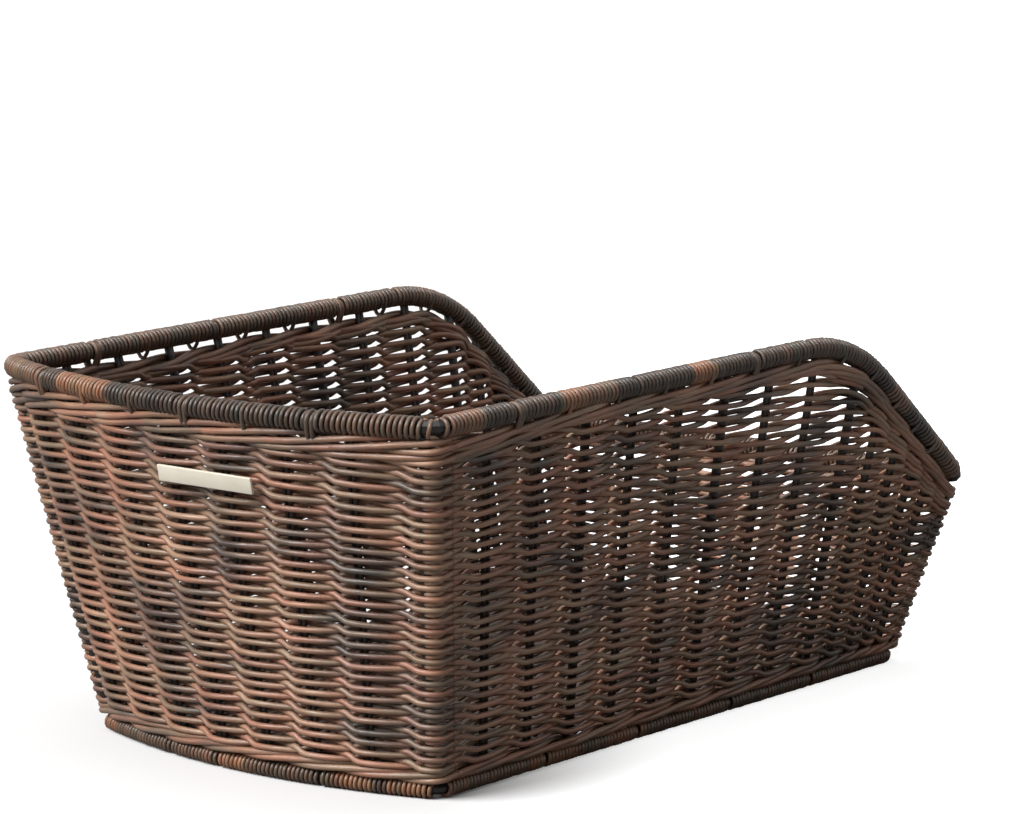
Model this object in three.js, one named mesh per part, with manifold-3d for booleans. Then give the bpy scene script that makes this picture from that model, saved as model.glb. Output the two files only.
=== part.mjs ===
// Woven bicycle basket on a wrapped wire frame, with a bowed high end and a rim that slopes to a low end
import * as THREE from "three";
import { mergeVertices } from "three/addons/utils/BufferGeometryUtils.js";
import Module from "manifold-3d";

const wasm = await Module();
wasm.setup();

// Rim, in millimetres on the centreline of its rod: X across, Y from the high rear to the low front, Z up
const rimLength = 516;
const rimWidth = 320;
const rimHeight = 215;
const rimRearBow = 31;
const rimLowHeight = 116.5;
const slopeRun = 112;
const shoulderEase = 45;
const rimCornerEase = 6;

// Base ring, on the centreline of its rod
const baseLength = 447;
const baseWidth = 253;
const baseRearBow = 23.5;
const baseBehindRimRear = 47.5;
const baseCornerEase = 6;

// Steel wire
const rimRodDiameter = 7.6;
const baseRodDiameter = 5.2;
const postDiameter = 6;
const hoopDiameter = 5.5;

// Strands, and the bands that stand for the woven courses
const strandDiameter = 3.1;
const windingDiameter = 2.5;
const bandHeight = 7.2;
const bandThickness = 2.6;
const coursePitch = 9.6;
const waleHeight = 8.5;
const waleGap = 3.5;

// Where the stakes stand, measured along the base ring from the rear right corner
const sideStakePitch = 37;
const evenSideStakes = 9;
const fanStakes = 4;
const fanRatio = 0.84;
const hoopEvery = 3;
const rearStakeStart = 37;
const rearStakePitch = 33;
const frontStakePitch = 36;

// Floor bands, which run lengthways over and under the cross stakes
const floorBandWidth = 17;
const floorBandPitch = 22;

// Windings on the rods: sleeves of wound strand, parted by a groove, that stop short of the rim's corners
const grooveSpacing = 54;
const grooveDepth = 1.2;
const grooveHalfWidth = 1.6;
const windingSetback = 4;

// Lashings round the rim and the top course
const lashingDiameter = 2.4;
const lashingTurns = 2;
const lashingAdvance = 3.1;
const lashedSideStakes = [1, 6];

// Badge plate on the rear wall
const badgeLength = 67;
const badgeHeight = 9.3;
const badgeThickness = 1.8;
const badgeCorner = 0.8;
const badgeBelowRim = 40;
const badgeCentreX = 19.5;

// The woven edge beside a post, and the turns of strand that go round it, open to the inside
const columnWidth = 5;
const turnSpread = THREE.MathUtils.degToRad(130);
const turnSteps = 6;

// Play left between two pieces that touch, the sides of a round section, and the halvings of a search
const clearance = 0.3;
const roundSides = 8;
const searchSteps = 40;

// Stakes nearer to each other than this take a band that lies flat past each of them
const closeSpan = 16;

// Sizes that follow from the ones above
const rimHalf = rimWidth / 2;
const baseHalf = baseWidth / 2;
const rimRearY = -rimLength / 2;
const rimFrontY = rimLength / 2;
const rimCornerY = rimRearY + rimRearBow;
const baseRearY = rimRearY + baseBehindRimRear;
const baseCornerY = baseRearY + baseRearBow;
const baseFrontY = baseRearY + baseLength;
const sideRun = baseFrontY - baseCornerY;
const rimWrapRadius = rimRodDiameter / 2 + clearance + windingDiameter;
const baseWrapRadius = baseRodDiameter / 2 + clearance + windingDiameter;
const baseRingZ = baseWrapRadius;
const ringTopZ = baseRingZ + baseWrapRadius;
const cornerFactor = 1 / Math.cos(Math.PI / roundSides);
const hoopCorner = (hoopDiameter / 2) * cornerFactor;
const floorZ = ringTopZ + clearance + hoopCorner;
const badgeZ = rimHeight - badgeBelowRim;
const lowWaleZ = ringTopZ + clearance + waleHeight / 2;
const waleReach = hoopCorner + 2 * clearance + bandThickness / 2;
const columnReach = waleReach + bandThickness / 2;
const waleDrop = rimWrapRadius + waleGap + waleHeight / 2;
const lashingCorner = (lashingDiameter / 2) * cornerFactor;
const topCourseDrop = waleDrop + waleHeight / 2 + 2 * lashingCorner + 3 * clearance;
const lowSlant = Math.hypot(rimHalf - baseHalf, rimFrontY - baseFrontY) / (rimLowHeight - baseRingZ);
const rearSlant = Math.hypot(rimHalf - baseHalf, rimCornerY - baseCornerY) / (rimHeight - baseRingZ);
const postSlant = Math.hypot(1, Math.max(lowSlant, rearSlant));
const postReach = (postDiameter / 2) * cornerFactor * postSlant + clearance;
const turnInner = postReach / Math.cos(turnSpread / turnSteps);
const turnOuter = turnInner + strandDiameter;
const columnSetback = turnOuter + 3 * clearance + columnWidth / 2;
const stakeDrop = rimWrapRadius * cornerFactor + clearance + strandDiameter / 4;

const point = (x, y, z) => new THREE.Vector3(x, y, z);
const up = point(0, 0, 1);

// Turns a closed body's faces outwards, by the sign of the volume that they enclose
function facingOut(geometry) {
  const position = geometry.getAttribute("position");
  const index = geometry.index.array;
  const [a, b, c] = [point(0, 0, 0), point(0, 0, 0), point(0, 0, 0)];
  let volume = 0;
  for (let i = 0; i < index.length; i += 3) {
    a.fromBufferAttribute(position, index[i]);
    b.fromBufferAttribute(position, index[i + 1]);
    c.fromBufferAttribute(position, index[i + 2]);
    volume += a.dot(b.cross(c));
  }
  if (volume < 0) {
    for (let i = 0; i < index.length; i += 3) {
      [index[i + 1], index[i + 2]] = [index[i + 2], index[i + 1]];
    }
  }
  return geometry;
}

// A closed body through rings of equally many points; a closed loft joins its last ring to its first
function loft(rings, closed = false) {
  const count = rings[0].length;
  const index = [];
  const spans = closed ? rings.length : rings.length - 1;
  for (let i = 0; i < spans; i++) {
    const a = i * count;
    const b = ((i + 1) % rings.length) * count;
    for (let j = 0; j < count; j++) {
      const k = (j + 1) % count;
      index.push(a + j, a + k, b + k, a + j, b + k, b + j);
    }
  }
  if (!closed) {
    const last = (rings.length - 1) * count;
    const outline = capOutline(rings[0]);
    for (const [i, j, k] of THREE.ShapeUtils.triangulateShape(outline, [])) {
      index.push(i, k, j);
      index.push(last + i, last + j, last + k);
    }
  }
  const geometry = new THREE.BufferGeometry();
  const positions = rings.flat().flatMap((p) => [p.x, p.y, p.z]);
  geometry.setAttribute("position", new THREE.Float32BufferAttribute(positions, 3));
  geometry.setIndex(index);
  return facingOut(geometry);
}

// A ring seen flat in its own plane and turned anticlockwise, for the triangles of its end cap
function capOutline(ring) {
  const normal = point(0, 0, 0);
  ring.forEach((p, j) => normal.add(p.clone().cross(ring[(j + 1) % ring.length])));
  normal.normalize();
  const across = ring[1].clone().sub(ring[0]).normalize();
  const along = normal.clone().cross(across);
  return ring.map((p) => new THREE.Vector2(p.dot(across), p.dot(along)));
}

// The mitre frame at each point of a path, with a second direction held close to the hint
function framesAlong(path, hint, closed) {
  const last = path.length - 1;
  return path.map((centre, i) => {
    const before = closed ? path[(i + last) % path.length] : path[Math.max(i - 1, 0)];
    const after = closed ? path[(i + 1) % path.length] : path[Math.min(i + 1, last)];
    const arriving = (before === centre ? after.clone().sub(centre) : centre.clone().sub(before)).normalize();
    const leaving = (after === centre ? centre.clone().sub(before) : after.clone().sub(centre)).normalize();
    const tangent = arriving.clone().add(leaving).normalize();
    const across = hint.clone().addScaledVector(tangent, -hint.dot(tangent)).normalize();
    const out = tangent.clone().cross(across);
    const bend = leaving.clone().sub(arriving);
    const stretch = bend.lengthSq() > 1e-9 ? 1 / tangent.dot(arriving) - 1 : 0;
    return { centre, across, out, bend: bend.normalize(), stretch };
  });
}

// One ring of a section at a mitre frame, widened across the bend so that the swept sides stay parallel
function sectionRing(frame, section) {
  return section.map(([sideways, outwards]) => {
    const offset = frame.across.clone().multiplyScalar(sideways).addScaledVector(frame.out, outwards);
    offset.addScaledVector(frame.bend, offset.dot(frame.bend) * frame.stretch);
    return frame.centre.clone().add(offset);
  });
}

function sweep(path, section, hint, closed = false) {
  const rings = framesAlong(path, hint, closed).map((frame) => sectionRing(frame, section));
  return loft(rings, closed);
}

// A regular outline whose flats touch a circle of this radius, with flats on the two directions
function roundSection(radius, sides = roundSides) {
  return Array.from({ length: sides }, (_, i) => {
    const angle = (Math.PI * (2 * i + 1)) / sides;
    const corner = radius / Math.cos(Math.PI / sides);
    return [corner * Math.cos(angle), corner * Math.sin(angle)];
  });
}

// Two strands side by side, as one outline
function pairSection(diameter) {
  const r = diameter / 2;
  const flat = 1.4 * r;
  return [[-2 * r, 0], [-flat, -r], [flat, -r], [2 * r, 0], [flat, r], [-flat, r]];
}

// Joining of closed bodies into one
function toSolid(geometry) {
  const bare = geometry.clone();
  bare.deleteAttribute("normal");
  bare.deleteAttribute("uv");
  const merged = mergeVertices(bare, 1e-4);
  const vertProperties = merged.getAttribute("position").array;
  return new wasm.Manifold(new wasm.Mesh({ numProp: 3, vertProperties, triVerts: merged.index.array }));
}

function joined(geometries) {
  const mesh = geometries.map(toSolid).reduce((whole, next) => whole.add(next)).getMesh();
  const geometry = new THREE.BufferGeometry();
  geometry.setAttribute("position", new THREE.BufferAttribute(mesh.vertProperties, 3));
  geometry.setIndex(new THREE.BufferAttribute(mesh.triVerts, 1));
  return geometry;
}

function mirrored(geometry) {
  return facingOut(geometry.clone().scale(-1, 1, 1));
}

// The bowed rear of the rim and of the base ring
class Bow extends THREE.Curve {
  constructor(half, cornerY, bow, height) {
    super();
    this.radius = (half * half + bow * bow) / (2 * bow);
    this.spread = Math.asin(half / this.radius);
    this.centreY = cornerY - bow + this.radius;
    this.height = height;
  }

  getPoint(t) {
    const angle = this.spread * (2 * t - 1);
    return point(this.radius * Math.sin(angle), this.centreY - this.radius * Math.cos(angle), this.height);
  }
}

const rimBow = new Bow(rimHalf, rimCornerY, rimRearBow, rimHeight);
const baseBow = new Bow(baseHalf, baseCornerY, baseRearBow, baseRingZ);

// An eased corner, from one leg to the other
function easedCorner(before, corner, after, ease, steps) {
  const start = corner.clone().addScaledVector(before.clone().sub(corner).normalize(), ease);
  const end = corner.clone().addScaledVector(after.clone().sub(corner).normalize(), ease);
  return new THREE.QuadraticBezierCurve3(start, corner, end).getPoints(steps);
}

// The parts of the rim's centreline on the right-hand side, from the rear corner to the low corner
const [bowSteps, cornerSteps, shoulderSteps] = [10, 3, 6];
const rimCorner = point(rimHalf, rimCornerY, rimHeight);
const shoulderCorner = point(rimHalf, rimFrontY - slopeRun, rimHeight);
const lowCorner = point(rimHalf, rimFrontY, rimLowHeight);
const rimFrontMiddle = point(0, rimFrontY, rimLowHeight);
const rimRear = trimmed(rimBow.getPoints(bowSteps), rimCornerEase, rimCornerEase);
const rimRearCorner = easedCorner(rimRear.at(-1), rimCorner, shoulderCorner, rimCornerEase, cornerSteps);
const rimShoulder = easedCorner(rimCorner, shoulderCorner, lowCorner, shoulderEase, shoulderSteps);
const rimLowCorner = easedCorner(shoulderCorner, lowCorner, rimFrontMiddle, rimCornerEase, cornerSteps);

// The same for the base ring
const baseCorner = point(baseHalf, baseCornerY, baseRingZ);
const baseFrontCorner = point(baseHalf, baseFrontY, baseRingZ);
const baseFrontMiddle = point(0, baseFrontY, baseRingZ);
const baseRear = trimmed(baseBow.getPoints(bowSteps), baseCornerEase, baseCornerEase);
const baseRearTurn = easedCorner(baseRear.at(-1), baseCorner, baseFrontCorner, baseCornerEase, cornerSteps);
const baseFrontTurn = easedCorner(baseCorner, baseFrontCorner, baseFrontMiddle, baseCornerEase, cornerSteps);

// A path with a length cut off each of its ends
function trimmed(path, fromStart, fromEnd) {
  const lengths = runningLengths(path);
  const total = lengths.at(-1);
  const [from, to] = [fromStart + 3 * clearance, total - fromEnd - 3 * clearance];
  const inner = path.filter((p, i) => lengths[i] > from && lengths[i] < to);
  return [pointAlong(path, lengths, fromStart), ...inner, pointAlong(path, lengths, total - fromEnd)];
}

function runningLengths(path) {
  const lengths = [0];
  for (let i = 1; i < path.length; i++) lengths.push(lengths[i - 1] + path[i].distanceTo(path[i - 1]));
  return lengths;
}

function pointAlong(path, lengths, distance) {
  const next = Math.max(1, lengths.findIndex((length) => length >= distance - 1e-9));
  const share = (distance - lengths[next - 1]) / (lengths[next] - lengths[next - 1]);
  return path[next - 1].clone().lerp(path[next], share);
}

const mirroredPath = (path) => path.map((p) => point(-p.x, p.y, p.z)).reverse();

// A closed ring path: the rear, the right side, and the right side's mirror image
function ringPath(rear, rightSide) {
  const path = [...rear, ...rightSide, ...mirroredPath(rightSide)];
  return path.filter((p, i) => p.distanceTo(path[(i + 1) % path.length]) > 1e-6);
}

const rimPath = ringPath(rimRear, [...rimRearCorner, ...rimShoulder, ...rimLowCorner]);
const basePath = ringPath(baseRear, [...baseRearTurn, ...baseFrontTurn]);

// The rim's height above a place along the right-hand side, and how steeply it falls there
const rimSide = [rimCorner, ...rimShoulder, lowCorner];

function rimHeightAt(y) {
  const next = Math.max(1, rimSide.findIndex((p) => p.y >= y - 1e-9));
  const [a, b] = [rimSide[next - 1], rimSide[next]];
  return a.z + ((b.z - a.z) * (y - a.y)) / (b.y - a.y);
}

function rimFallAt(y) {
  const step = 4;
  const [from, to] = [Math.max(y - step, rimCornerY), Math.min(y + step, rimFrontY)];
  return (rimHeightAt(from) - rimHeightAt(to)) / (to - from);
}

// A wall's middle surface, ruled from the base ring to the rim, with the outward side to the right of its run
class Wall {
  constructor(baseAt, rimAt) {
    this.baseAt = baseAt;
    this.rimAt = rimAt;
  }

  onSurface(f, z) {
    const [low, high] = [this.baseAt(f), this.rimAt(f)];
    return low.clone().lerp(high, (z - low.z) / (high.z - low.z));
  }

  facingAt(f, z) {
    const step = 1e-3;
    const along = this.onSurface(f + step, z).sub(this.onSurface(f - step, z));
    return along.cross(this.rimAt(f).sub(this.baseAt(f))).normalize();
  }

  at(f, z, out = 0) {
    return this.onSurface(f, z).addScaledVector(this.facingAt(f, z).setZ(0).normalize(), out);
  }

  bandRing(f, z, out, height, thickness) {
    const corners = [[-1, -1], [-1, 1], [1, 1], [1, -1]];
    return corners.map(([rise, side]) => this.at(f, z + (rise * height) / 2, out + (side * thickness) / 2));
  }
}

const mix = THREE.MathUtils.lerp;
const sideRimAt = (f) => {
  const y = mix(rimCornerY, rimFrontY, f);
  return point(rimHalf, y, rimHeightAt(THREE.MathUtils.clamp(y, rimCornerY, rimFrontY)));
};
const sideWall = new Wall((f) => point(baseHalf, mix(baseCornerY, baseFrontY, f), baseRingZ), sideRimAt);
const rearWall = new Wall((f) => baseBow.getPoint(f), (f) => rimBow.getPoint(f));
const frontWall = new Wall(
  (f) => point(mix(baseHalf, -baseHalf, f), baseFrontY, baseRingZ),
  (f) => point(mix(rimHalf, -rimHalf, f), rimFrontY, rimLowHeight),
);

// Corner posts, from base ring to rim: the rear ones where the bow ends, the front ones in the corners
function postLine(low, high) {
  return (z) => low.clone().lerp(high, (z - low.z) / (high.z - low.z));
}

const middleOf = (curve) => curve[1].clone().add(curve[2]).multiplyScalar(0.5);
const rearPost = postLine(baseRearTurn[0], rimRearCorner[0]);
const frontPost = postLine(middleOf(baseFrontTurn), middleOf(rimLowCorner));

// The floor's edge stays inside the winding of the base ring
const floorInset = baseWrapRadius * cornerFactor + 2 * clearance;
const floorFrontBarY = baseFrontY - floorInset - columnWidth / 2;

// Stakes: doubled strands, with a steel hoop at every third station of the sides
const doubled = { half: strandDiameter / 2, halfWidth: strandDiameter };
const steel = { half: hoopCorner, halfWidth: hoopDiameter / 4 };

function sideStations() {
  const stations = [];
  for (let i = 1; i <= evenSideStakes; i++) {
    stations.push({ f: (i * sideStakePitch) / sideRun, ...(i % hoopEvery === 0 ? steel : doubled) });
  }
  const lastFootY = floorFrontBarY - columnWidth / 2 - 2 * clearance - strandDiameter;
  const besideColumn = (z) => frontPost(z).y - columnSetback - columnWidth - strandDiameter;
  const limits = [
    sideShareAt(lastFootY, floorZ),
    sideShareAt(besideColumn(floorZ), floorZ),
    sideShareAt(besideColumn(rimLowHeight), rimLowHeight),
  ];
  const fanRun = Math.min(...limits) * sideRun - evenSideStakes * sideStakePitch;
  let gap = (fanRun * (1 - fanRatio)) / (1 - fanRatio ** fanStakes);
  let place = evenSideStakes * sideStakePitch;
  for (let i = 0; i < fanStakes; i++) {
    place += gap;
    gap *= fanRatio;
    stations.push({ f: place / sideRun, ...doubled });
  }
  return stations;
}

function rearStations() {
  const count = Math.floor((baseWidth - rearStakeStart - columnSetback) / rearStakePitch) + 1;
  const places = Array.from({ length: count }, (_, i) => baseHalf - rearStakeStart - i * rearStakePitch);
  const shareAt = (x) => (1 + Math.asin(x / baseBow.radius) / baseBow.spread) / 2;
  return places.map((x) => ({ f: shareAt(x), ...doubled })).reverse();
}

function frontStations() {
  const count = Math.round(baseWidth / frontStakePitch) - 1;
  return Array.from({ length: count }, (_, i) => ({ f: (i + 1) / (count + 1), ...doubled }));
}

const side = sideStations();
const rear = rearStations();
const front = frontStations();

// Woven bands. A band passes outside one stake and inside the next, and clears each of them
function bandReach(station, span) {
  const reach = station.half * postSlant + clearance + bandThickness / 2;
  const close = span < closeSpan;
  return { close, reach: close ? reach + clearance : reach / (1 - (2 * station.halfWidth) / span) };
}

// The shorter way from a station to its neighbours, with a band's end halfway to a crossing
function spanAt(stations, i, run, ends) {
  const f = stations[i].f;
  const before = i > 0 ? f - stations[i - 1].f : 2 * (f - ends[0]);
  const after = i < stations.length - 1 ? stations[i + 1].f - f : 2 * (ends[1] - f);
  return Math.min(before, after) * run;
}

// The rings of one band past a row of stations, where run is the wall's length along the base ring
function bandRings(wall, stations, run, z, firstSide, height, ends) {
  return stations.flatMap((station, i) => {
    const { close, reach } = bandReach(station, spanAt(stations, i, run, ends));
    const out = reach * (i % 2 ? -firstSide : firstSide);
    const flat = (station.halfWidth + clearance) / run;
    const places = close ? [station.f - flat, station.f + flat] : [station.f];
    return places.map((f) => wall.bandRing(f, z, out, height, bandThickness));
  });
}

function courseHeights(top) {
  const first = lowWaleZ + waleHeight / 2 + (coursePitch - bandHeight) / 2 + bandHeight / 2;
  const count = Math.floor((top - first - bandHeight / 2) / coursePitch) + 1;
  return Array.from({ length: count }, (_, i) => first + i * coursePitch);
}

// The upper wale follows the rim at an even distance, so it drops further below a sloping rim
function waleAt(f) {
  const fall = Math.hypot(1, rimFallAt(mix(rimCornerY, rimFrontY, f)));
  return { z: sideRimAt(f).z - waleDrop * fall, height: waleHeight * fall };
}

// A solid woven edge beside a corner post, set back a little from the faces of the wales that run into it
function sideColumn(post, direction, top) {
  const shareAt = (z) => sideShareAt(post(z).y + direction * columnSetback, z);
  const heights = [ringTopZ + 2 * clearance, top - clearance];
  const rings = heights.map((z) => {
    const f = shareAt(z);
    const half = columnWidth / 2 / sideRun;
    const corners = [[-half, -1], [half, -1], [half, 1], [-half, 1]];
    return corners.map(([along, out]) => sideWall.at(f + along, z, out * (columnReach - clearance)));
  });
  return { body: loft(rings), shareAt };
}

// Halves a range until it closes on the place where the test stops being true
function closeIn(low, high, stillBefore) {
  for (let i = 0; i < searchSteps; i++) {
    const middle = (low + high) / 2;
    if (stillBefore(middle)) low = middle;
    else high = middle;
  }
  return (low + high) / 2;
}

// The share of the side wall's run that a point at this Y and height has
function sideShareAt(y, z) {
  return closeIn(-1, 2, (f) => sideWall.onSurface(f, z).y < y);
}

// Where a course at this height meets the sloping wale, which falls from the shoulder on
const shoulderShares = rimShoulder.map((p) => (p.y - rimCornerY) / (rimFrontY - rimCornerY));

function cutByWale(z, end) {
  return waleAt(end).z > z ? end : closeIn(shoulderShares[0], end, (f) => waleAt(f).z > z);
}

function sideWeave() {
  const endShare = sideShareAt(rimFrontY - columnSetback, rimLowHeight);
  const nearColumn = sideColumn(rearPost, 1, waleAt(0).z + waleHeight / 2);
  const farColumn = sideColumn(frontPost, -1, waleAt(endShare).z + waleHeight / 2);
  const pieces = [nearColumn.body, farColumn.body];
  courseHeights(rimHeight - topCourseDrop).forEach((z, course) => {
    const [from, to] = [nearColumn.shareAt(z), farColumn.shareAt(z)];
    const cut = cutByWale(z, to);
    const passed = side.filter((station) => station.f < cut - (2 * strandDiameter) / sideRun);
    const firstSide = course % 2 ? 1 : -1;
    const ends = [from, cut < to ? Infinity : to];
    const rings = bandRings(sideWall, passed, sideRun, z, firstSide, bandHeight, ends);
    const lastSide = passed.length % 2 ? firstSide : -firstSide;
    const endOut = cut < to ? lastSide * waleReach : 0;
    rings.unshift(sideWall.bandRing(from, z, 0, bandHeight, bandThickness));
    rings.push(sideWall.bandRing(Math.min(cut, to), z, endOut, bandHeight, bandThickness));
    pieces.push(loft(rings));
  });
  for (const out of [waleReach, -waleReach]) {
    const top = waleAt(0).z;
    const shares = [nearColumn.shareAt(top), ...shoulderShares, endShare];
    const bars = shares.map((f) => {
      const wale = waleAt(f);
      return sideWall.bandRing(f, wale.z, out, wale.height, bandThickness);
    });
    pieces.push(loft(bars));
  }
  pieces.push(lowWale(sideWall, [nearColumn.shareAt(lowWaleZ), farColumn.shareAt(lowWaleZ)]));
  return joined(pieces);
}

function lowWale(wall, shares) {
  return loft(shares.map((f) => wall.bandRing(f, lowWaleZ, waleReach, waleHeight, bandThickness)));
}

// The turns of strand round a corner post, open towards the inside of the basket
function cornerTurns(post, outwardAngle, top) {
  const shares = Array.from({ length: turnSteps + 1 }, (_, i) => (2 * i) / turnSteps - 1);
  const angles = shares.map((share) => outwardAngle + turnSpread * share);
  const arc = (radius) => angles.map((angle) => [radius * Math.cos(angle), radius * Math.sin(angle)]);
  const section = [...arc(turnOuter), ...arc(turnInner).reverse()];
  const heights = [ringTopZ + clearance, top];
  return loft(heights.map((z) => section.map(([x, y]) => post(z).add(point(x, y, 0)))));
}

// A woven end wall, whose bands run into the turns round its two corner posts
function endWeave(wall, stations, run, posts, angles, top) {
  const waleZ = top - waleDrop;
  const turnsTop = waleZ + waleHeight / 2;
  const besidePost = 0.04;
  const pieces = posts.map((post, i) => cornerTurns(post, angles[i], turnsTop));
  const inTurns = (post, z, out, height, towards) => {
    const ring = wall.bandRing(towards, z, out, height, bandThickness);
    const centre = ring.reduce((sum, p) => sum.add(p), point(0, 0, 0)).multiplyScalar(1 / ring.length);
    const middle = (turnInner + turnOuter) / 2;
    const target = post(z).add(centre.clone().sub(post(z)).setZ(0).setLength(middle));
    return ring.map((p) => p.clone().sub(centre).add(target).setZ(p.z));
  };
  const across = (rings, z, out, height) => [
    inTurns(posts[0], z, out, height, besidePost),
    ...rings,
    inTurns(posts[1], z, out, height, 1 - besidePost),
  ];
  const nearTurns = (turnOuter + baseCornerEase) / run;
  const ends = [nearTurns, 1 - nearTurns];
  courseHeights(top - topCourseDrop).forEach((z, course) => {
    const rings = bandRings(wall, stations, run, z, course % 2 ? 1 : -1, bandHeight, ends);
    pieces.push(loft(across(rings, z, 0, bandHeight)));
  });
  const shares = stations.map((station) => station.f);
  const bar = (z, out) => {
    const rings = shares.map((f) => wall.bandRing(f, z, out, waleHeight, bandThickness));
    pieces.push(loft(across(rings, z, 0, waleHeight)));
  };
  bar(waleZ, waleReach);
  bar(waleZ, -waleReach);
  bar(lowWaleZ, waleReach);
  return joined(pieces);
}

// The woven floor: bands that run lengthways past the cross stakes, between two end bars
function floorWeave() {
  const half = baseHalf - floorInset;
  const count = 2 * Math.floor((half - floorBandWidth / 2) / floorBandPitch) + 1;
  const barHalf = columnWidth / 2;
  const rearBarY = (x) => baseBow.centreY - Math.sqrt(baseBow.radius ** 2 - x * x) + floorInset + barHalf;
  const block = (x, y, halfY, halfZ) => [[-1, -1], [1, -1], [1, 1], [-1, 1]].map(
    ([dy, dz]) => point(x, y + dy * halfY, floorZ + dz * halfZ),
  );
  const barSteps = 6;
  const edges = Array.from({ length: barSteps + 1 }, (_, i) => mix(-half, half, i / barSteps));
  const pieces = [
    loft(edges.map((x) => block(x, rearBarY(x), barHalf, columnReach))),
    loft([-half, half].map((x) => block(x, floorFrontBarY, barHalf, columnReach))),
  ];
  for (let i = 0; i < count; i++) {
    const x = (i - (count - 1) / 2) * floorBandPitch;
    const firstSide = i % 2 ? 1 : -1;
    const ringAt = (y, rise) => [[-1, -1], [1, -1], [1, 1], [-1, 1]].map(
      ([dx, dz]) => point(x + (dx * floorBandWidth) / 2, y, floorZ + rise + (dz * bandThickness) / 2),
    );
    const rings = side.flatMap((station, j) => {
      const { close, reach } = bandReach(station, spanAt(side, j, sideRun, [0, 1]));
      const rise = reach * (j % 2 ? -firstSide : firstSide);
      const y = sideWall.onSurface(station.f, floorZ).y;
      const flat = station.halfWidth + clearance;
      return (close ? [y - flat, y + flat] : [y]).map((place) => ringAt(place, rise));
    });
    pieces.push(loft([ringAt(rearBarY(x), 0), ...rings, ringAt(floorFrontBarY, 0)]));
  }
  return joined(pieces);
}

// A cross stake or hoop: down one side wall, across under the floor bands, and up the other side wall
function crossStakePath(station) {
  const y = mix(rimCornerY, rimFrontY, station.f);
  const fall = rimFallAt(y);
  const rimSteep = Math.hypot(1, fall);
  const drop = (rimWrapRadius * cornerFactor + clearance) * rimSteep + station.halfWidth * Math.abs(fall);
  const top = sideWall.at(station.f, sideRimAt(station.f).z - drop);
  const foot = sideWall.at(station.f, floorZ);
  const rightHalf = [top, ...easedCorner(top, foot, point(0, foot.y, floorZ), hoopDiameter, 2)];
  return [...rightHalf, ...mirroredPath(rightHalf)];
}

function endStakePath(wall, station) {
  const rim = wall.rimAt(station.f);
  return [wall.at(station.f, ringTopZ + 3 * clearance), wall.at(station.f, rim.z - stakeDrop)];
}

// A wound sleeve over a rod: grooved outside, and a bore that the rod fills
function windingSleeve(path, outerRadius, rodDiameter) {
  const lengths = runningLengths(path);
  const total = lengths.at(-1);
  const groups = Math.max(1, Math.round(total / grooveSpacing));
  const grooves = Array.from({ length: groups - 1 }, (_, i) => (total * (i + 1)) / groups);
  const stops = lengths.map((place) => ({ place, radius: outerRadius }));
  const clearOf = (place) => (groove) => Math.abs(groove - place) > grooveHalfWidth + clearance;
  const kept = stops.filter(({ place }) => grooves.every(clearOf(place)));
  for (const groove of grooves) {
    kept.push({ place: groove - grooveHalfWidth, radius: outerRadius });
    kept.push({ place: groove, radius: outerRadius - grooveDepth });
    kept.push({ place: groove + grooveHalfWidth, radius: outerRadius });
  }
  kept.sort((a, b) => a.place - b.place);
  const outerPath = kept.map(({ place }) => pointAlong(path, lengths, place));
  const outerFrames = framesAlong(outerPath, up, false);
  const outer = outerFrames.map((frame, i) => sectionRing(frame, roundSection(kept[i].radius)));
  const bore = roundSection(rodDiameter / 2 + clearance);
  const inner = framesAlong(path, up, false).map((frame) => sectionRing(frame, bore));
  return loft([...outer, ...inner.reverse()], true);
}

// A lashing: an unbroken strand wound round the rim and the upper wale, seen along the rim as a long loop
function lashingPath(wall, f, along) {
  const rim = wall.rimAt(f);
  const waleZ = rim.z - waleDrop;
  const outward = along.clone().cross(up).normalize();
  if (outward.dot(wall.facingAt(f, waleZ)) < 0) outward.negate();
  const arcSteps = 5;
  const arcReach = rimWrapRadius * cornerFactor + lashingCorner + 1.5 * clearance;
  const upper = arcReach / Math.cos(Math.PI / arcSteps / 2);
  const waleClearance = 2.5 * clearance + lashingDiameter / 2;
  const lower = columnReach + waleClearance;
  const drop = waleHeight / 2 + waleClearance;
  const turn = Array.from({ length: arcSteps + 1 }, (_, i) => {
    const angle = (Math.PI * i) / arcSteps;
    const [sideways, rise] = [upper * Math.cos(angle), upper * Math.sin(angle)];
    return rim.clone().addScaledVector(outward, sideways).addScaledVector(up, rise);
  });
  const chamfer = 1;
  const [flat, edge] = [lower - chamfer, chamfer - drop];
  const below = [[-lower, edge], [-flat, -drop], [flat, -drop], [lower, edge]];
  turn.push(...below.map(([sideways, rise]) => wall.at(f, waleZ + rise, sideways)));
  const count = turn.length * lashingTurns;
  return Array.from({ length: count }, (_, i) => {
    const shift = lashingAdvance * (i / turn.length - lashingTurns / 2);
    return turn[i % turn.length].clone().addScaledVector(along, shift);
  });
}

// The least gap between the turns of a wound strand, measured on its points
function leastGap(path, diameter, perTurn) {
  let least = Infinity;
  path.forEach((p, i) => {
    for (let j = i + Math.floor(perTurn / 2); j < path.length; j++) {
      least = Math.min(least, p.distanceTo(path[j]) - diameter);
    }
  });
  return least;
}

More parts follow.
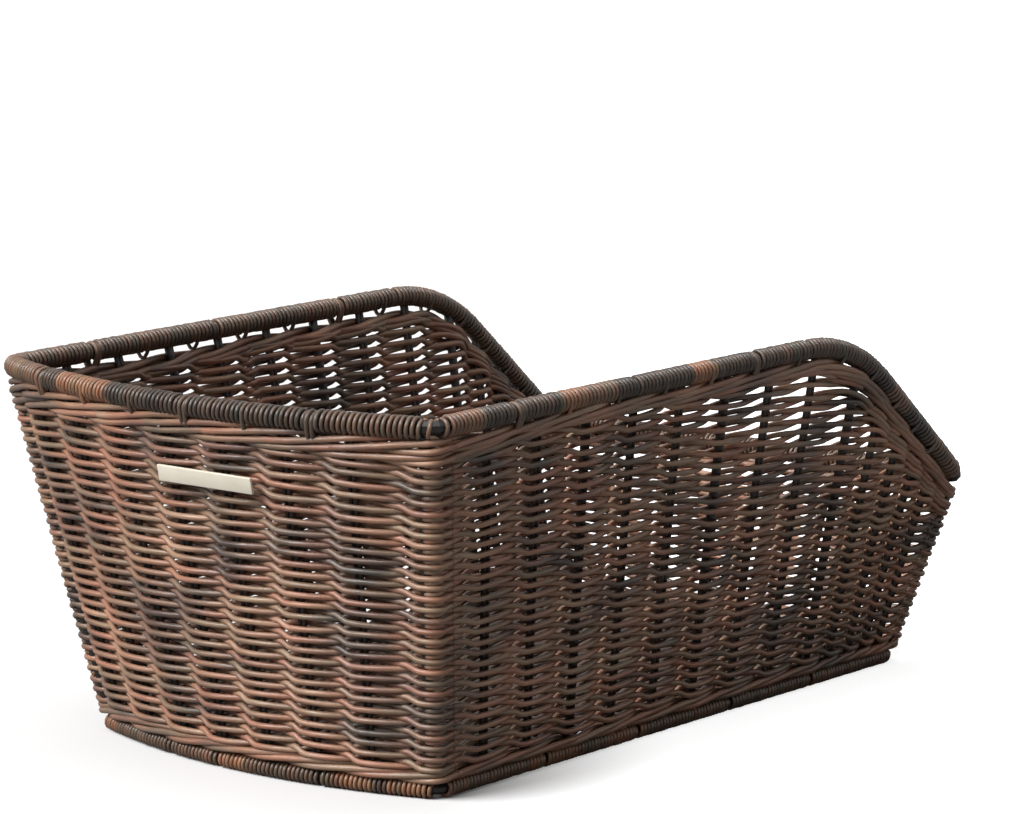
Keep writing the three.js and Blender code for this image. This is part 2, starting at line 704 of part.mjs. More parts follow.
// The bare badge plate, flat against the bowed rear wall
function badgePlate() {
  const f = (1 + Math.asin(badgeCentreX / rimBow.radius) / rimBow.spread) / 2;
  const outward = rearWall.facingAt(f, badgeZ);
  const seat = bandReach(doubled, rearStakePitch).reach + bandThickness / 2 + clearance;
  const centre = rearWall.at(f, badgeZ, seat + badgeThickness / 2);
  const outline = new THREE.Shape();
  const [halfLength, halfHeight] = [badgeLength / 2, badgeHeight / 2];
  outline.moveTo(-halfLength + badgeCorner, -halfHeight);
  outline.lineTo(halfLength - badgeCorner, -halfHeight);
  outline.lineTo(halfLength, -halfHeight + badgeCorner);
  outline.lineTo(halfLength, halfHeight - badgeCorner);
  outline.lineTo(halfLength - badgeCorner, halfHeight);
  outline.lineTo(-halfLength + badgeCorner, halfHeight);
  outline.lineTo(-halfLength, halfHeight - badgeCorner);
  outline.lineTo(-halfLength, -halfHeight + badgeCorner);
  const plate = new THREE.ExtrudeGeometry(outline, { depth: badgeThickness, bevelEnabled: false });
  plate.translate(0, 0, -badgeThickness / 2);
  const sideways = up.clone().cross(outward).normalize();
  const upright = outward.clone().cross(sideways);
  plate.applyMatrix4(new THREE.Matrix4().makeBasis(sideways, upright, outward).setPosition(centre));
  return plate;
}

// Finishes
const finishes = {
  steel: { color: 0x4a4038, roughness: 0.45, metalness: 0.7 },
  darkStrand: { color: 0x4b3a31, roughness: 0.6, metalness: 0 },
  brownStrand: { color: 0x7a5846, roughness: 0.6, metalness: 0 },
  greyStrand: { color: 0x5f564d, roughness: 0.6, metalness: 0 },
  tanStrand: { color: 0xa07355, roughness: 0.6, metalness: 0 },
  cream: { color: 0xe2dcc8, roughness: 0.45, metalness: 0.1 },
};

const basket = new THREE.Group();
basket.name = "bicycle_basket";

function add(parent, name, geometry, finish) {
  const mesh = new THREE.Mesh(geometry, new THREE.MeshStandardMaterial(finishes[finish]));
  mesh.name = name;
  parent.add(mesh);
}

function addPair(parent, name, geometry, finish, ending = "") {
  add(parent, name + "_right" + ending, geometry, finish);
  add(parent, name + "_left" + ending, mirrored(geometry), finish);
}

// Steel frame
const frame = new THREE.Group();
add(frame, "rim_rod", sweep(rimPath, roundSection(rimRodDiameter / 2), up, true), "steel");
add(frame, "base_ring_rod", sweep(basePath, roundSection(baseRodDiameter / 2), up, true), "steel");
const postTop = (rimRodDiameter / 2) * cornerFactor + clearance;
const rearPostEnds = [rearPost(ringTopZ + clearance), rearPost(rimHeight - postTop)];
const lowFall = Math.hypot(1, rimFallAt(rimFrontY));
const frontPostEnds = [frontPost(ringTopZ + clearance), frontPost(rimLowHeight - postTop * lowFall)];
const postSection = roundSection(postDiameter / 2);
addPair(frame, "corner_post_rear", sweep(rearPostEnds, postSection, point(0, 1, 0)), "steel");
addPair(frame, "corner_post_front", sweep(frontPostEnds, postSection, point(0, 1, 0)), "steel");

// Stakes
const stakes = new THREE.Group();
const pairOutline = pairSection(strandDiameter);
let [hoops, crossStakes] = [0, 0];
for (const station of side) {
  const path = crossStakePath(station);
  if (station.half === steel.half) {
    hoops += 1;
    add(stakes, "steel_hoop_" + hoops, sweep(path, roundSection(hoopDiameter / 2), point(0, 1, 0)), "steel");
  } else {
    crossStakes += 1;
    add(stakes, "cross_stake_" + crossStakes, sweep(path, pairOutline, point(0, 1, 0)), "brownStrand");
  }
}
rear.forEach((station, i) => {
  const stake = sweep(endStakePath(rearWall, station), pairOutline, point(1, 0, 0));
  add(stakes, "rear_stake_" + (i + 1), stake, "brownStrand");
});
front.forEach((station, i) => {
  const stake = sweep(endStakePath(frontWall, station), pairOutline, point(1, 0, 0));
  add(stakes, "front_stake_" + (i + 1), stake, "brownStrand");
});

// Woven walls and floor
const weave = new THREE.Group();
const quarter = Math.PI / 4;
const leftPost = (post) => (z) => post(z).multiply(point(-1, 1, 1));
addPair(weave, "woven_wall", sideWeave(), "brownStrand");
const rearPosts = [leftPost(rearPost), rearPost];
add(weave, "woven_wall_rear",
  endWeave(rearWall, rear, baseWidth, rearPosts, [-3 * quarter, -quarter], rimHeight), "brownStrand");
const frontPosts = [frontPost, leftPost(frontPost)];
add(weave, "woven_wall_front",
  endWeave(frontWall, front, baseWidth, frontPosts, [quarter, 3 * quarter], rimLowHeight), "brownStrand");
add(weave, "woven_floor", floorWeave(), "darkStrand");

// Windings on the rim and on the base ring
const windings = new THREE.Group();
const rimSleeve = (path) => windingSleeve(path, rimWrapRadius, rimRodDiameter);
const baseSleeve = (path) => windingSleeve(path, baseWrapRadius, baseRodDiameter);
const levelStart = rimRearCorner.at(-1);
const rimLevel = [levelStart, levelStart.clone().lerp(rimShoulder[0], 0.5), rimShoulder[0]];
const rimSlope = trimmed([...rimShoulder, rimLowCorner[0]], clearance, windingSetback);
add(windings, "rim_winding_rear", rimSleeve(trimmed(rimRear, windingSetback, windingSetback)), "greyStrand");
addPair(windings, "rim_winding", rimSleeve(trimmed(rimLevel.slice(0, 2), windingSetback, clearance / 2)),
  "tanStrand", "_near");
addPair(windings, "rim_winding", rimSleeve(trimmed(rimLevel.slice(1), clearance / 2, clearance)),
  "greyStrand", "_far");
addPair(windings, "rim_winding", rimSleeve(rimSlope), "darkStrand", "_slope");
const rimFrontEnds = [rimLowCorner.at(-1), point(-rimLowCorner.at(-1).x, rimFrontY, rimLowHeight)];
const rimFrontLine = trimmed(rimFrontEnds, windingSetback, windingSetback);
add(windings, "rim_winding_front", rimSleeve(rimFrontLine), "greyStrand");
const baseSideLine = [baseRearTurn.at(-1), baseFrontTurn[0]];
const baseFrontLine = [baseFrontTurn.at(-1), point(-baseFrontTurn.at(-1).x, baseFrontY, baseRingZ)];
add(windings, "base_winding_rear", baseSleeve(trimmed(baseRear, clearance, clearance)), "darkStrand");
addPair(windings, "base_winding", baseSleeve(trimmed(baseSideLine, clearance, clearance)), "darkStrand");
add(windings, "base_winding_front", baseSleeve(trimmed(baseFrontLine, clearance, clearance)), "darkStrand");

// Lashings
const lashings = new THREE.Group();
const lashingSides = 5;
const lashingOutline = roundSection(lashingDiameter / 2, lashingSides);
const lashingGaps = [];
function lashing(wall, f, along) {
  const path = lashingPath(wall, f, along);
  lashingGaps.push(leastGap(path, lashingDiameter, path.length / lashingTurns));
  return sweep(path, lashingOutline, along);
}
const afterStake = (stations, i) => mix(stations[i - 1].f, stations[i].f, 0.5);
const lashedRearStakes = [1, Math.ceil(rear.length / 2), rear.length - 1];
lashedRearStakes.forEach((stake, i) => {
  const f = afterStake(rear, stake);
  add(lashings, "lashing_rear_" + (i + 1), lashing(rearWall, f, rimBow.getTangent(f)), "tanStrand");
});
lashedSideStakes.forEach((stake, i) => {
  const body = lashing(sideWall, afterStake(side, stake), point(0, 1, 0));
  addPair(lashings, "lashing", body, "tanStrand", "_" + (i + 1));
});
console.log("least gap between lashing turns, mm: " + Math.min(...lashingGaps).toFixed(2));

const trim = new THREE.Group();
add(trim, "badge_plate", badgePlate(), "cream");

basket.add(frame, stakes, weave, windings, lashings, trim);

// The origin lies under the middle of the whole basket
const bounds = new THREE.Box3().setFromObject(basket);
basket.position.y = -(bounds.min.y + bounds.max.y) / 2;

export default basket;
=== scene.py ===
# %% [markdown]
# # A woven bicycle basket
# The basket stands as it was packed in CAD: steel rods, posts and hoops are already in the frame, with plain
# solids for everything that is woven or wound. This lesson dresses that frame. Each woven wall, winding and
# lashing is made again, strand by strand, on the places that the CAD nodes give. Everything is in metres.

# %% Load the frame
import bpy
import math
import numpy as np
from mathutils import Matrix, Vector


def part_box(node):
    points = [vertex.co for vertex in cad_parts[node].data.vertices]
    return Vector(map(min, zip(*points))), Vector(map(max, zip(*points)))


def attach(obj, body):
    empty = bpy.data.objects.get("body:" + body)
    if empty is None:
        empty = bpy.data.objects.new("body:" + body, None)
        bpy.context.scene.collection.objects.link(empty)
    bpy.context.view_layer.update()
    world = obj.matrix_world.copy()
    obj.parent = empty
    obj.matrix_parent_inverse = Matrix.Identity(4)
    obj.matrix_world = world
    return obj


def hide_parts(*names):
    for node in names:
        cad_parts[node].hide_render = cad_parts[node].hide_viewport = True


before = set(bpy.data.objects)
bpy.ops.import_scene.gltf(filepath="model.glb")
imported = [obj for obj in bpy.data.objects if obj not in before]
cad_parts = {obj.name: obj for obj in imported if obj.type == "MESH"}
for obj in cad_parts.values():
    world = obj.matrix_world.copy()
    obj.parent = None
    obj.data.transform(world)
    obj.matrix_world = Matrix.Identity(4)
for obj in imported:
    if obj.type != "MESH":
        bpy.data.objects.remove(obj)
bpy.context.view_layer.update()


def mm(values):
    return [round(1000 * v, 1) for v in values]


# %% [markdown]
# ## Main sizes
# The rods' own boxes say where the rim and the base ring run, so a change in CAD moves the weave with it.
# A rod's box is larger than its centreline by the rod's radius on every side. Only the radii of rods and
# strands and the curves' own proportions, such as how far the high end bows out, are written here.

# %% Main sizes from the CAD nodes
ROD_RIM = 0.0038
POST_RADIUS = 0.003
HOOP_RADIUS = 0.00275
STRAND = 0.00170
STAKE = 0.00155
WIND = 0.00125

rim_low, rim_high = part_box("rim_rod")
base_low, base_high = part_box("base_ring_rod")
front_low, front_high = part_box("rim_winding_front")
ROD_BASE = (base_high.z - base_low.z) / 2
RIM_HALF = rim_high.x - ROD_RIM
RIM_REAR = rim_low.y + ROD_RIM
RIM_FRONT = rim_high.y - ROD_RIM
RIM_Z = rim_high.z - ROD_RIM
RIM_LOW_Z = (front_low.z + front_high.z) / 2
BASE_HALF = base_high.x - ROD_BASE
BASE_REAR = base_low.y + ROD_BASE
BASE_FRONT = base_high.y - ROD_BASE
BASE_Z = (base_low.z + base_high.z) / 2
RIM_BOW = 0.031
BASE_BOW = 0.0235
SLOPE_RUN = 0.112
SHOULDER_EASE = 0.045
CORNER_EASE = 0.006
WEAVE_TURN = {"rear": 0.004, "right": 0.007, "front": 0.007, "left": 0.004}
RIM_CORNER = RIM_REAR + RIM_BOW
BASE_CORNER = BASE_REAR + BASE_BOW
FLOOR_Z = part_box("steel_hoop_1")[0].z + HOOP_RADIUS
print("rim, mm:", mm((RIM_HALF, RIM_REAR, RIM_CORNER, RIM_FRONT, RIM_Z, RIM_LOW_Z)))
print("base, mm:", mm((BASE_HALF, BASE_REAR, BASE_CORNER, BASE_FRONT, BASE_Z, FLOOR_Z)))

# %% [markdown]
# ## The wall surfaces
# Each wall is a ruled surface: straight lines lean outwards from the base ring to the rim. A place on it is
# given by its share along the wall, from 0 to 1, and its height. The basket is walked anticlockwise as seen
# from above: rear wall, right wall, front wall, left wall. That is the way in which the strands run on.

# %% Bowed ends, sloping rim and the four ruled walls
def blend(a, b, share):
    return a + (b - a) * share


def ramp(value, start, stop):
    """0 before the start, 1 after the stop, and a smooth rise between them."""
    t = np.clip((value - start) / (stop - start), 0, 1)
    return t * t * (3 - 2 * t)


def length_of(path):
    return np.concatenate([[0], np.cumsum(np.linalg.norm(np.diff(path, axis=0), axis=1))])


def values_at(places, lengths, values):
    """Rows of three values, known at some running lengths, read at other places."""
    return np.stack([np.interp(places, lengths, values[:, i]) for i in range(3)], axis=1)


def at_lengths(path, places):
    return values_at(places, length_of(path), path)


def bow_radius(half, bow):
    return (half * half + bow * bow) / (2 * bow)


def bow_point(half, corner_y, bow, share):
    radius = bow_radius(half, bow)
    angle = math.asin(half / radius) * (2 * share - 1)
    return radius * np.sin(angle), corner_y - bow + radius - radius * np.cos(angle)


def curved(start, corner, end, t):
    """Points of the smooth curve from start to end that leans towards the corner."""
    return (1 - t) ** 2 * start + 2 * t * (1 - t) * corner + t * t * end


def eased(a, b, c, ease, steps):
    """The bend at b between the straight lines from a and to c."""
    a, b, c = (np.array(p, float) for p in (a, b, c))
    start = b + (a - b) / np.linalg.norm(a - b) * ease
    end = b + (c - b) / np.linalg.norm(c - b) * ease
    return curved(start, b, end, np.linspace(0, 1, steps)[:, None])


shoulder = eased((RIM_HALF, RIM_CORNER, RIM_Z), (RIM_HALF, RIM_FRONT - SLOPE_RUN, RIM_Z),
                 (RIM_HALF, RIM_FRONT, RIM_LOW_Z), SHOULDER_EASE, 17)
rim_side = np.vstack([[RIM_HALF, RIM_CORNER, RIM_Z], shoulder, [RIM_HALF, RIM_FRONT, RIM_LOW_Z]])
SLOPE_START = shoulder[0][1]


def rim_height(y):
    return np.interp(y, rim_side[:, 1], rim_side[:, 2])


PROBE = 0.003


def rim_steepness(y):
    """The length of a sloping piece of rim over its level run, taken over twice the probe's reach."""
    y = np.clip(y, RIM_CORNER, RIM_FRONT - 0.004)
    return np.hypot(1, (rim_height(y - PROBE) - rim_height(y + PROBE)) / (2 * PROBE))


def rear_wall(share, z):
    bx, by = bow_point(BASE_HALF, BASE_CORNER, BASE_BOW, share)
    rx, ry = bow_point(RIM_HALF, RIM_CORNER, RIM_BOW, share)
    up = (z - BASE_Z) / (RIM_Z - BASE_Z)
    return np.stack([blend(bx, rx, up), blend(by, ry, up), z + 0 * share], axis=-1)


def right_wall(share, z):
    y_rim = blend(RIM_CORNER, RIM_FRONT, share)
    up = (z - BASE_Z) / (rim_height(y_rim) - BASE_Z)
    y = blend(blend(BASE_CORNER, BASE_FRONT, share), y_rim, up)
    return np.stack([blend(BASE_HALF, RIM_HALF, up) + 0 * y, y, z + 0 * y], axis=-1)


def front_wall(share, z):
    up = (z - BASE_Z) / (RIM_LOW_Z - BASE_Z)
    x = blend(blend(BASE_HALF, -BASE_HALF, share), blend(RIM_HALF, -RIM_HALF, share), up)
    return np.stack([x, blend(BASE_FRONT, RIM_FRONT, up) + 0 * x, z + 0 * x], axis=-1)


def left_wall(share, z):
    return right_wall(1 - share, z) * np.array([-1, 1, 1])


WALLS = {"rear": rear_wall, "right": right_wall, "front": front_wall, "left": left_wall}

# %% [markdown]
# ## Where the stakes stand
# The strands pass in front of one stake and behind the next, so the weave needs each stake's share along its
# wall. The feet of the CAD stakes give it: a cross stake runs down one side wall, under the floor and up the
# other, so one reading serves both sides. Stakes and corner posts are counted along the walk: 7 at the rear,
# a post, 13 on the right, a post, 6 at the front, a post, 13 on the left and the last post.

# %% Read the stakes' stations
FOOT_Z = BASE_Z + 0.012
FOOT_TOP = BASE_Z + 0.020


def node_middle(name, high):
    """The middle of what a node has below a height."""
    points = np.array([v.co[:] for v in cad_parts[name].data.vertices])
    low_part = points[points[:, 2] < high]
    return (low_part.min(axis=0) + low_part.max(axis=0)) / 2


def nearest_share(wall, z, place):
    shares = np.linspace(0, 1, 801)
    line = wall(shares, z)
    return float(shares[np.argmin(np.hypot(line[:, 0] - place[0], line[:, 1] - place[1]))])


def nodes_named(*starts):
    return sorted(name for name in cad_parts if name.startswith(starts))


side_names, rear_names = nodes_named("cross_stake", "steel_hoop"), nodes_named("rear_stake")
front_names = nodes_named("front_stake")
side_stakes = sorted((float(node_middle(name, FLOOR_Z + 0.004)[1]), name) for name in side_names)
SIDE = [nearest_share(right_wall, FLOOR_Z, (BASE_HALF, y)) for y, _ in side_stakes]
REAR = [nearest_share(rear_wall, FOOT_Z, node_middle(name, FOOT_TOP)) for name in rear_names]
FRONT = [nearest_share(front_wall, FOOT_Z, node_middle(name, FOOT_TOP)) for name in front_names]

BESIDE_STAKE = STAKE + STRAND
BESIDE_HOOP = HOOP_RADIUS + STRAND
BESIDE_POST = POST_RADIUS + 0.0001
side_reach = [BESIDE_HOOP if name.startswith("steel") else BESIDE_STAKE for _, name in side_stakes]
STATIONS = {"rear": REAR, "right": SIDE, "front": FRONT, "left": [1 - s for s in reversed(SIDE)]}
REACH = {"rear": [BESIDE_STAKE] * len(REAR), "right": side_reach, "front": [BESIDE_STAKE] * len(FRONT),
         "left": side_reach[::-1]}
COUNT_FROM = {"rear": 0, "right": 8, "front": 22, "left": 29}
POST_COUNT = {"rear": 7, "right": 21, "front": 28, "left": -1}
AROUND = 43
print("side stations:", [round(s, 3) for s in SIDE])
print("rear and front stations:", [round(s, 2) for s in REAR], [round(s, 2) for s in FRONT])

# %% [markdown]
# ## Round strands
# Every strand is a path with a round section: a curve object with a bevel, turned into a mesh by Convert.
# A curve keeps the section square to the path round every bend, which extruding by hand would not. The mesh
# then gets two attributes for its finish: `tone`, a number that picks the strand's colour, and `grain`, which
# says how far along the strand and how far round it a point is. The ends are closed and the doubles merged.

# %% A helper that turns paths into one mesh of strands
rng = np.random.default_rng(11)
SHIFT = 0.37


def close_and_turn_outwards():
    """Merges the active mesh's doubles and points its faces outwards."""
    bpy.ops.object.mode_set(mode="EDIT")
    bpy.ops.mesh.select_all(action="SELECT")
    bpy.ops.mesh.remove_doubles(threshold=1e-6)
    bpy.ops.mesh.normals_make_consistent(inside=False)
    bpy.ops.object.mode_set(mode="OBJECT")


def strands(name, paths, radius, sides, tones, widths=None):
    """A grain that starts further along for each strand keeps neighbours from showing the same pattern."""
    curve = bpy.data.curves.new(name, "CURVE")
    curve.dimensions = "3D"
    curve.bevel_mode = "ROUND"
    curve.bevel_depth = radius
    curve.bevel_resolution = sides // 2 - 2
    curve.use_fill_caps = True
    for k, path in enumerate(paths):
        spline = curve.splines.new("POLY")
        spline.points.add(len(path) - 1)
        spline.points.foreach_set("co", np.hstack([path, np.ones((len(path), 1))]).ravel())
        if widths is not None:
            spline.points.foreach_set("radius", widths[k])
    obj = bpy.data.objects.new(name, curve)
    bpy.context.scene.collection.objects.link(obj)
    bpy.ops.object.select_all(action="DESELECT")
    obj.select_set(True)
    bpy.context.view_layer.objects.active = obj
    bpy.ops.object.convert(target="MESH")
    obj = bpy.context.view_layer.objects.active
    mesh = obj.data
    mesh.name = name
    tone = np.zeros(len(mesh.vertices))
    grain = np.zeros((len(mesh.vertices), 3))
    turn = 2 * math.pi * np.arange(sides) / sides
    caps = 2 * sides * len(paths)
    at = caps
    for k, path in enumerate(paths):
        n = len(path)
        value = np.broadcast_to(tones[k], n)
        along = length_of(path) + SHIFT * k
        rows = slice(at, at + n * sides)
        tone[rows] = np.repeat(value, sides)
        grain[rows, 0] = np.tile(np.cos(turn), n)
        grain[rows, 1] = np.tile(np.sin(turn), n)
        grain[rows, 2] = np.repeat(along, sides)
        cap = caps - 2 * sides * (k + 1)
        tone[cap:cap + 2 * sides] = value[0]
        grain[cap:cap + 2 * sides, 2] = along[0]
        at += n * sides
    mesh.attributes.new("tone", "FLOAT", "POINT").data.foreach_set("value", tone)
    mesh.attributes.new("grain", "FLOAT_VECTOR", "POINT").data.foreach_set("vector", grain.ravel())
    close_and_turn_outwards()
    bpy.ops.object.shade_smooth()
    print(name, len(paths), "strands,", sum(len(p.vertices) - 2 for p in mesh.polygons), "triangles")
    return obj


def dress(obj, finish, slot, *nodes):
    obj.data.materials.append(finish)
    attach(obj, "root")
    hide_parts(*nodes)


# %% [markdown]
# ## The finish of synthetic rattan
# The strands are extruded plastic with a satin skin. Three things make it look real: the colour wanders from
# tan to near-black along a strand and over whole patches of the wall, each strand has its own tone, and fine
# grooves run lengthwise. The patches come from noise on Object coordinates, and the grooves from the `grain`
# attribute, stretched along the strand, because a pattern in space would cut across the strands.

# %% Helpers for materials
def srgb(r, g, b):
    return tuple(((c / 255 + 0.055) / 1.055) ** 2.4 for c in (r, g, b))


def new_material(name):
    material = bpy.data.materials.new(name)
    material.use_nodes = True
    return material, material.node_tree, material.node_tree.nodes["Principled BSDF"]


def add_node(tree, kind, inputs, **settings):
    """A new node. Each of its inputs gets a plain value, or a link from another node's output."""
    node = tree.nodes.new("ShaderNode" + kind)
    for label, value in settings.items():
        setattr(node, label, value)
    for label, value in inputs.items():
        if isinstance(value, bpy.types.NodeSocket):
            tree.links.new(value, node.inputs[label])
        else:
            node.inputs[label].default_value = value
    return node


def mapped(tree, value, low, high, to_low, to_high, **settings):
    inputs = {"Value": value, "From Min": low, "From Max": high, "To Min": to_low, "To Max": to_high}
    return add_node(tree, "MapRange", inputs, **settings).outputs["Result"]


def noise(tree, vector, scale, detail):
    return add_node(tree, "TexNoise", {"Vector": vector, "Scale": scale, "Detail": detail}).outputs["Fac"]


def maths(tree, operation, a, b):
    return add_node(tree, "Math", {0: a, 1: b}, operation=operation).outputs["Value"]


def mixed(tree, share, a, b, how="MIX"):
    inputs = {"Factor": share, "A": a, "B": b}
    return add_node(tree, "Mix", inputs, data_type="RGBA", blend_type=how).outputs["Result"]


def coloured(tree, value, colours):
    """The colours spread evenly over a value from 0 to 1."""
    node = add_node(tree, "ValToRGB", {"Fac": value})
    stops = node.color_ramp.elements
    while len(stops) < len(colours):
        stops.new(0.5)
    for k, colour in enumerate(colours):
        stops[k].position = k / (len(colours) - 1)
        stops[k].color = (*colour, 1.0)
    return node.outputs["Color"]


# %% A material for strands
GROOVE_DEPTH = 0.0006
WARM, COOL = (1.12, 0.94, 0.90, 1), (0.90, 1.03, 0.98, 1)


def rattan(name, colours, own, patch, drift, rough=0.42, patch_size=20.0):
    """own, patch and drift say how much the strand's tone, the wall's patches and the run weigh."""
    material, tree, shader = new_material(name)
    place = add_node(tree, "TexCoord", {}).outputs["Object"]
    grain = add_node(tree, "Attribute", {}, attribute_name="grain").outputs["Vector"]
    tone = add_node(tree, "Attribute", {}, attribute_name="tone").outputs["Fac"]

    def stretched(vector, x, z):
        node = add_node(tree, "VectorMath", {0: vector, 1: (x, x, z)}, operation="MULTIPLY")
        return node.outputs["Vector"]

    patches = mapped(tree, noise(tree, stretched(place, 1.0, 2.4), patch_size, 3.0), 0.35, 0.58, 0.0, patch)
    drifts = mapped(tree, noise(tree, stretched(grain, 0.0, 17.0), 1.0, 2.0), 0.34, 0.66, 0.0, drift)
    tones = mapped(tree, tone, 0.0, 1.0, 0.0, own)
    colour = coloured(tree, maths(tree, "ADD", maths(tree, "ADD", patches, drifts), tones), colours)
    grooves = noise(tree, stretched(grain, 3.0, 60.0), 1.6, 4.0)
    shaded = mixed(tree, 1.0, colour, mapped(tree, grooves, 0.3, 0.7, 0.72, 1.18), "MULTIPLY")
    warmth = mapped(tree, noise(tree, stretched(grain, 0.0, 12.0), 1.0, 1.0), 0.42, 0.58, 0.0, 1.0)
    tinted = mixed(tree, 1.0, shaded, mixed(tree, warmth, WARM, COOL), "MULTIPLY")
    bump = add_node(tree, "Bump", {"Strength": 0.35, "Distance": GROOVE_DEPTH, "Height": grooves})
    tree.links.new(tinted, shader.inputs["Base Color"])
    tree.links.new(mapped(tree, grooves, 0.3, 0.7, rough - 0.08, rough + 0.10), shader.inputs["Roughness"])
    tree.links.new(bump.outputs["Normal"], shader.inputs["Normal"])
    return material


# %% The strands' finishes
MOTTLED = [srgb(48, 41, 39), srgb(80, 68, 62), srgb(114, 91, 79), srgb(137, 105, 87), srgb(151, 114, 93),
           srgb(165, 129, 107), srgb(188, 154, 131)]
WOUND = [srgb(44, 39, 38), srgb(70, 60, 54), srgb(96, 81, 71), srgb(119, 94, 78), srgb(144, 105, 81),
         srgb(176, 132, 103)]
DARK_BROWN = [srgb(42, 36, 34), srgb(72, 58, 50), srgb(98, 76, 64)]
NEAR_BLACK = [srgb(26, 22, 21), srgb(44, 36, 32), srgb(64, 50, 42)]
wall_finish = rattan("mottled_brown_strand", MOTTLED, 0.18, 0.46, 0.32, rough=0.34, patch_size=13.0)
floor_finish = rattan("dark_floor_strand", DARK_BROWN, 0.4, 0.3, 0.3)
stake_finish = rattan("dark_stake_strand", NEAR_BLACK, 0.4, 0.3, 0.3)
wound_finish = rattan("wound_strand", WOUND, 0.92, 0.08, 0.06, rough=0.31)
lash_finish = rattan("lashing_strand", WOUND, 0.9, 0.1, 0.1, rough=0.38)
print("finishes:", [m.name for m in bpy.data.materials if m.name.endswith("strand")])

# %% [markdown]
# ## One turn round the basket
# A course is laid on a run round the walls. The run is a list of points, a few millimetres apart, with small
# rounded corners. For each point it keeps the count of stakes and posts passed so far, which is the strand's
# phase: whole numbers at the stakes and posts. The rear posts stand where the bow ends, just before the
# corner, and the front posts in the corners.

# %% Lay a run round the walls at a given height
STEP = 0.0026
WHOLE = [("rear", 0.0, 1.0), ("right", 0.0, 1.0), ("front", 0.0, 1.0), ("left", 0.0, 1.0)]
PREVIOUS = {"rear": "left", "right": "rear", "front": "right", "left": "front"}


def lay(runs, height, closed):
    """Points round the walls, and knots that say which stake or post stands where, and how thick it is."""
    laid = []
    for i, (name, first, last) in enumerate(runs):
        shares = np.linspace(first, last, 300)
        points = WALLS[name](shares, height(name, shares))
        total = length_of(points)[-1]
        start = WEAVE_TURN[PREVIOUS[name]] if closed or i > 0 else 0.0
        stop = total - (WEAVE_TURN[name] if closed or i < len(runs) - 1 else 0.0)
        places = np.linspace(start, stop, max(4, int((stop - start) / STEP)))
        laid.append((name, np.interp(places, length_of(points), shares), at_lengths(points, places)))
    parts, knots, at = [], [], 0
    for i, (name, shares, points) in enumerate(laid):
        behind = AROUND if name == "left" and not closed else 0
        for j, (share, reach) in enumerate(zip(STATIONS[name], REACH[name])):
            if shares[0] <= share <= shares[-1]:
                place = at + float(np.interp(share, shares, np.arange(len(shares))))
                knots.append((place, COUNT_FROM[name] + j - behind, reach, False))
        if name == "rear":
            knots.append((at - 1, POST_COUNT["left"], BESIDE_POST, True))
            knots.append((at + len(points), POST_COUNT["rear"], BESIDE_POST, True))
        parts.append(points)
        at += len(points)
        if closed or i < len(laid) - 1:
            follower = laid[(i + 1) % len(laid)][2]
            forward = points[-1] - points[-2]
            corner = points[-1] + forward / np.linalg.norm(forward) * WEAVE_TURN[name]
            bend = curved(points[-1], corner, follower[0], np.linspace(0, 1, 8)[1:-1, None])
            if name in ("right", "front") and closed:
                knots.append((at + (len(bend) - 1) / 2, POST_COUNT[name], BESIDE_POST, True))
            parts.append(bend)
            at += len(bend)
    return np.vstack(parts), sorted(knots)


sample, sample_knots = lay(WHOLE, lambda name, share: FOOT_Z + 0 * share, True)
print("one turn:", len(sample_knots), "stakes and posts,", len(sample), "points")

# %% [markdown]
# ## Pairing and waling
# The walls are woven with pairs of strands. At every stake one strand of the pair lies in front and the other
# behind, and between two stakes they change places: the one in front dips under the other. So a strand is a
# long, flat screw, and its partner is half a turn ahead of it. A cosine gives the way out and in. The rise
# and fall is keyed instead: a strand drops once it has come out, runs nearly level in front, climbs once it
# has gone in, and runs level behind. Both moves are short, so a pair leaves only a thin slit there.
#
# A wale is a heavier band of three strands. Each goes outside two stakes and inside the third. Its floats
# start low and climb to the right, so they lie over each other like a rope.

# %% How a strand moves out and up with its phase
BEAT = np.linspace(0, 2, 401)
LEAD = 0.6
SOFTEN = np.ones(19) / 19
drop_and_rise = np.interp(BEAT, [0.0, 0.21, 0.38, 1.21, 1.38, 2.0], [1.0, 1.0, -1.0, -0.9, 0.9, 1.0])
drop_and_rise = np.convolve(np.tile(drop_and_rise[:-1], 3), SOFTEN, mode="same")[400:801]
print("height at a stake, in front and behind:", [round(float(drop_and_rise[i]), 2) for i in (120, 320)])


def pairing(partner):
    """The partner, 0 or 1, is half a turn ahead. Loose weave slants evenly between the stakes."""
    def move(u, loose):
        x = u + partner
        tight = np.interp((x + LEAD) % 2.0, BEAT, drop_and_rise)
        return np.cos(np.pi * x), blend(tight, -0.9 * np.sin(np.pi * x), loose)
    return move


def waling(m):
    """Strand m of three. Its float takes up two thirds of a turn in front, and the rest is behind."""
    def move(u, loose):
        v = ((u + m + 0.5) / 3) % 1.0
        x = 2 * np.pi * (v - 1 / 3)
        out = 1 / 3 + np.cos(x) - np.cos(2 * x) / 3
        lift = np.where(v < 2 / 3, -np.cos(np.pi * v * 1.5), np.cos(np.pi * (v - 2 / 3) * 3))
        return out, lift
    return move


# %% Lay a strand on a run
POST_WINDOW = 0.0095
POST_LIFT = 1.15
UNEVEN_HEIGHT = 0.00022
UNEVEN_REACH = 0.00014


def with_neighbours(knots, n, closed):
    """A loop's knots once before and once after, or an open run's with one more at either end."""
    if closed:
        return [(i + lap * n, k + lap * AROUND, r, post) for lap in (-1, 0, 1) for i, k, r, post in knots]
    first, second, last_but_one, last = knots[0], knots[1], knots[-2], knots[-1]
    before = (first[0] - (second[0] - first[0]), first[1] - 1, first[2], False)
    after = (last[0] + (last[0] - last_but_one[0]), last[1] + 1, last[2], False)
    return [before] + knots + [after]


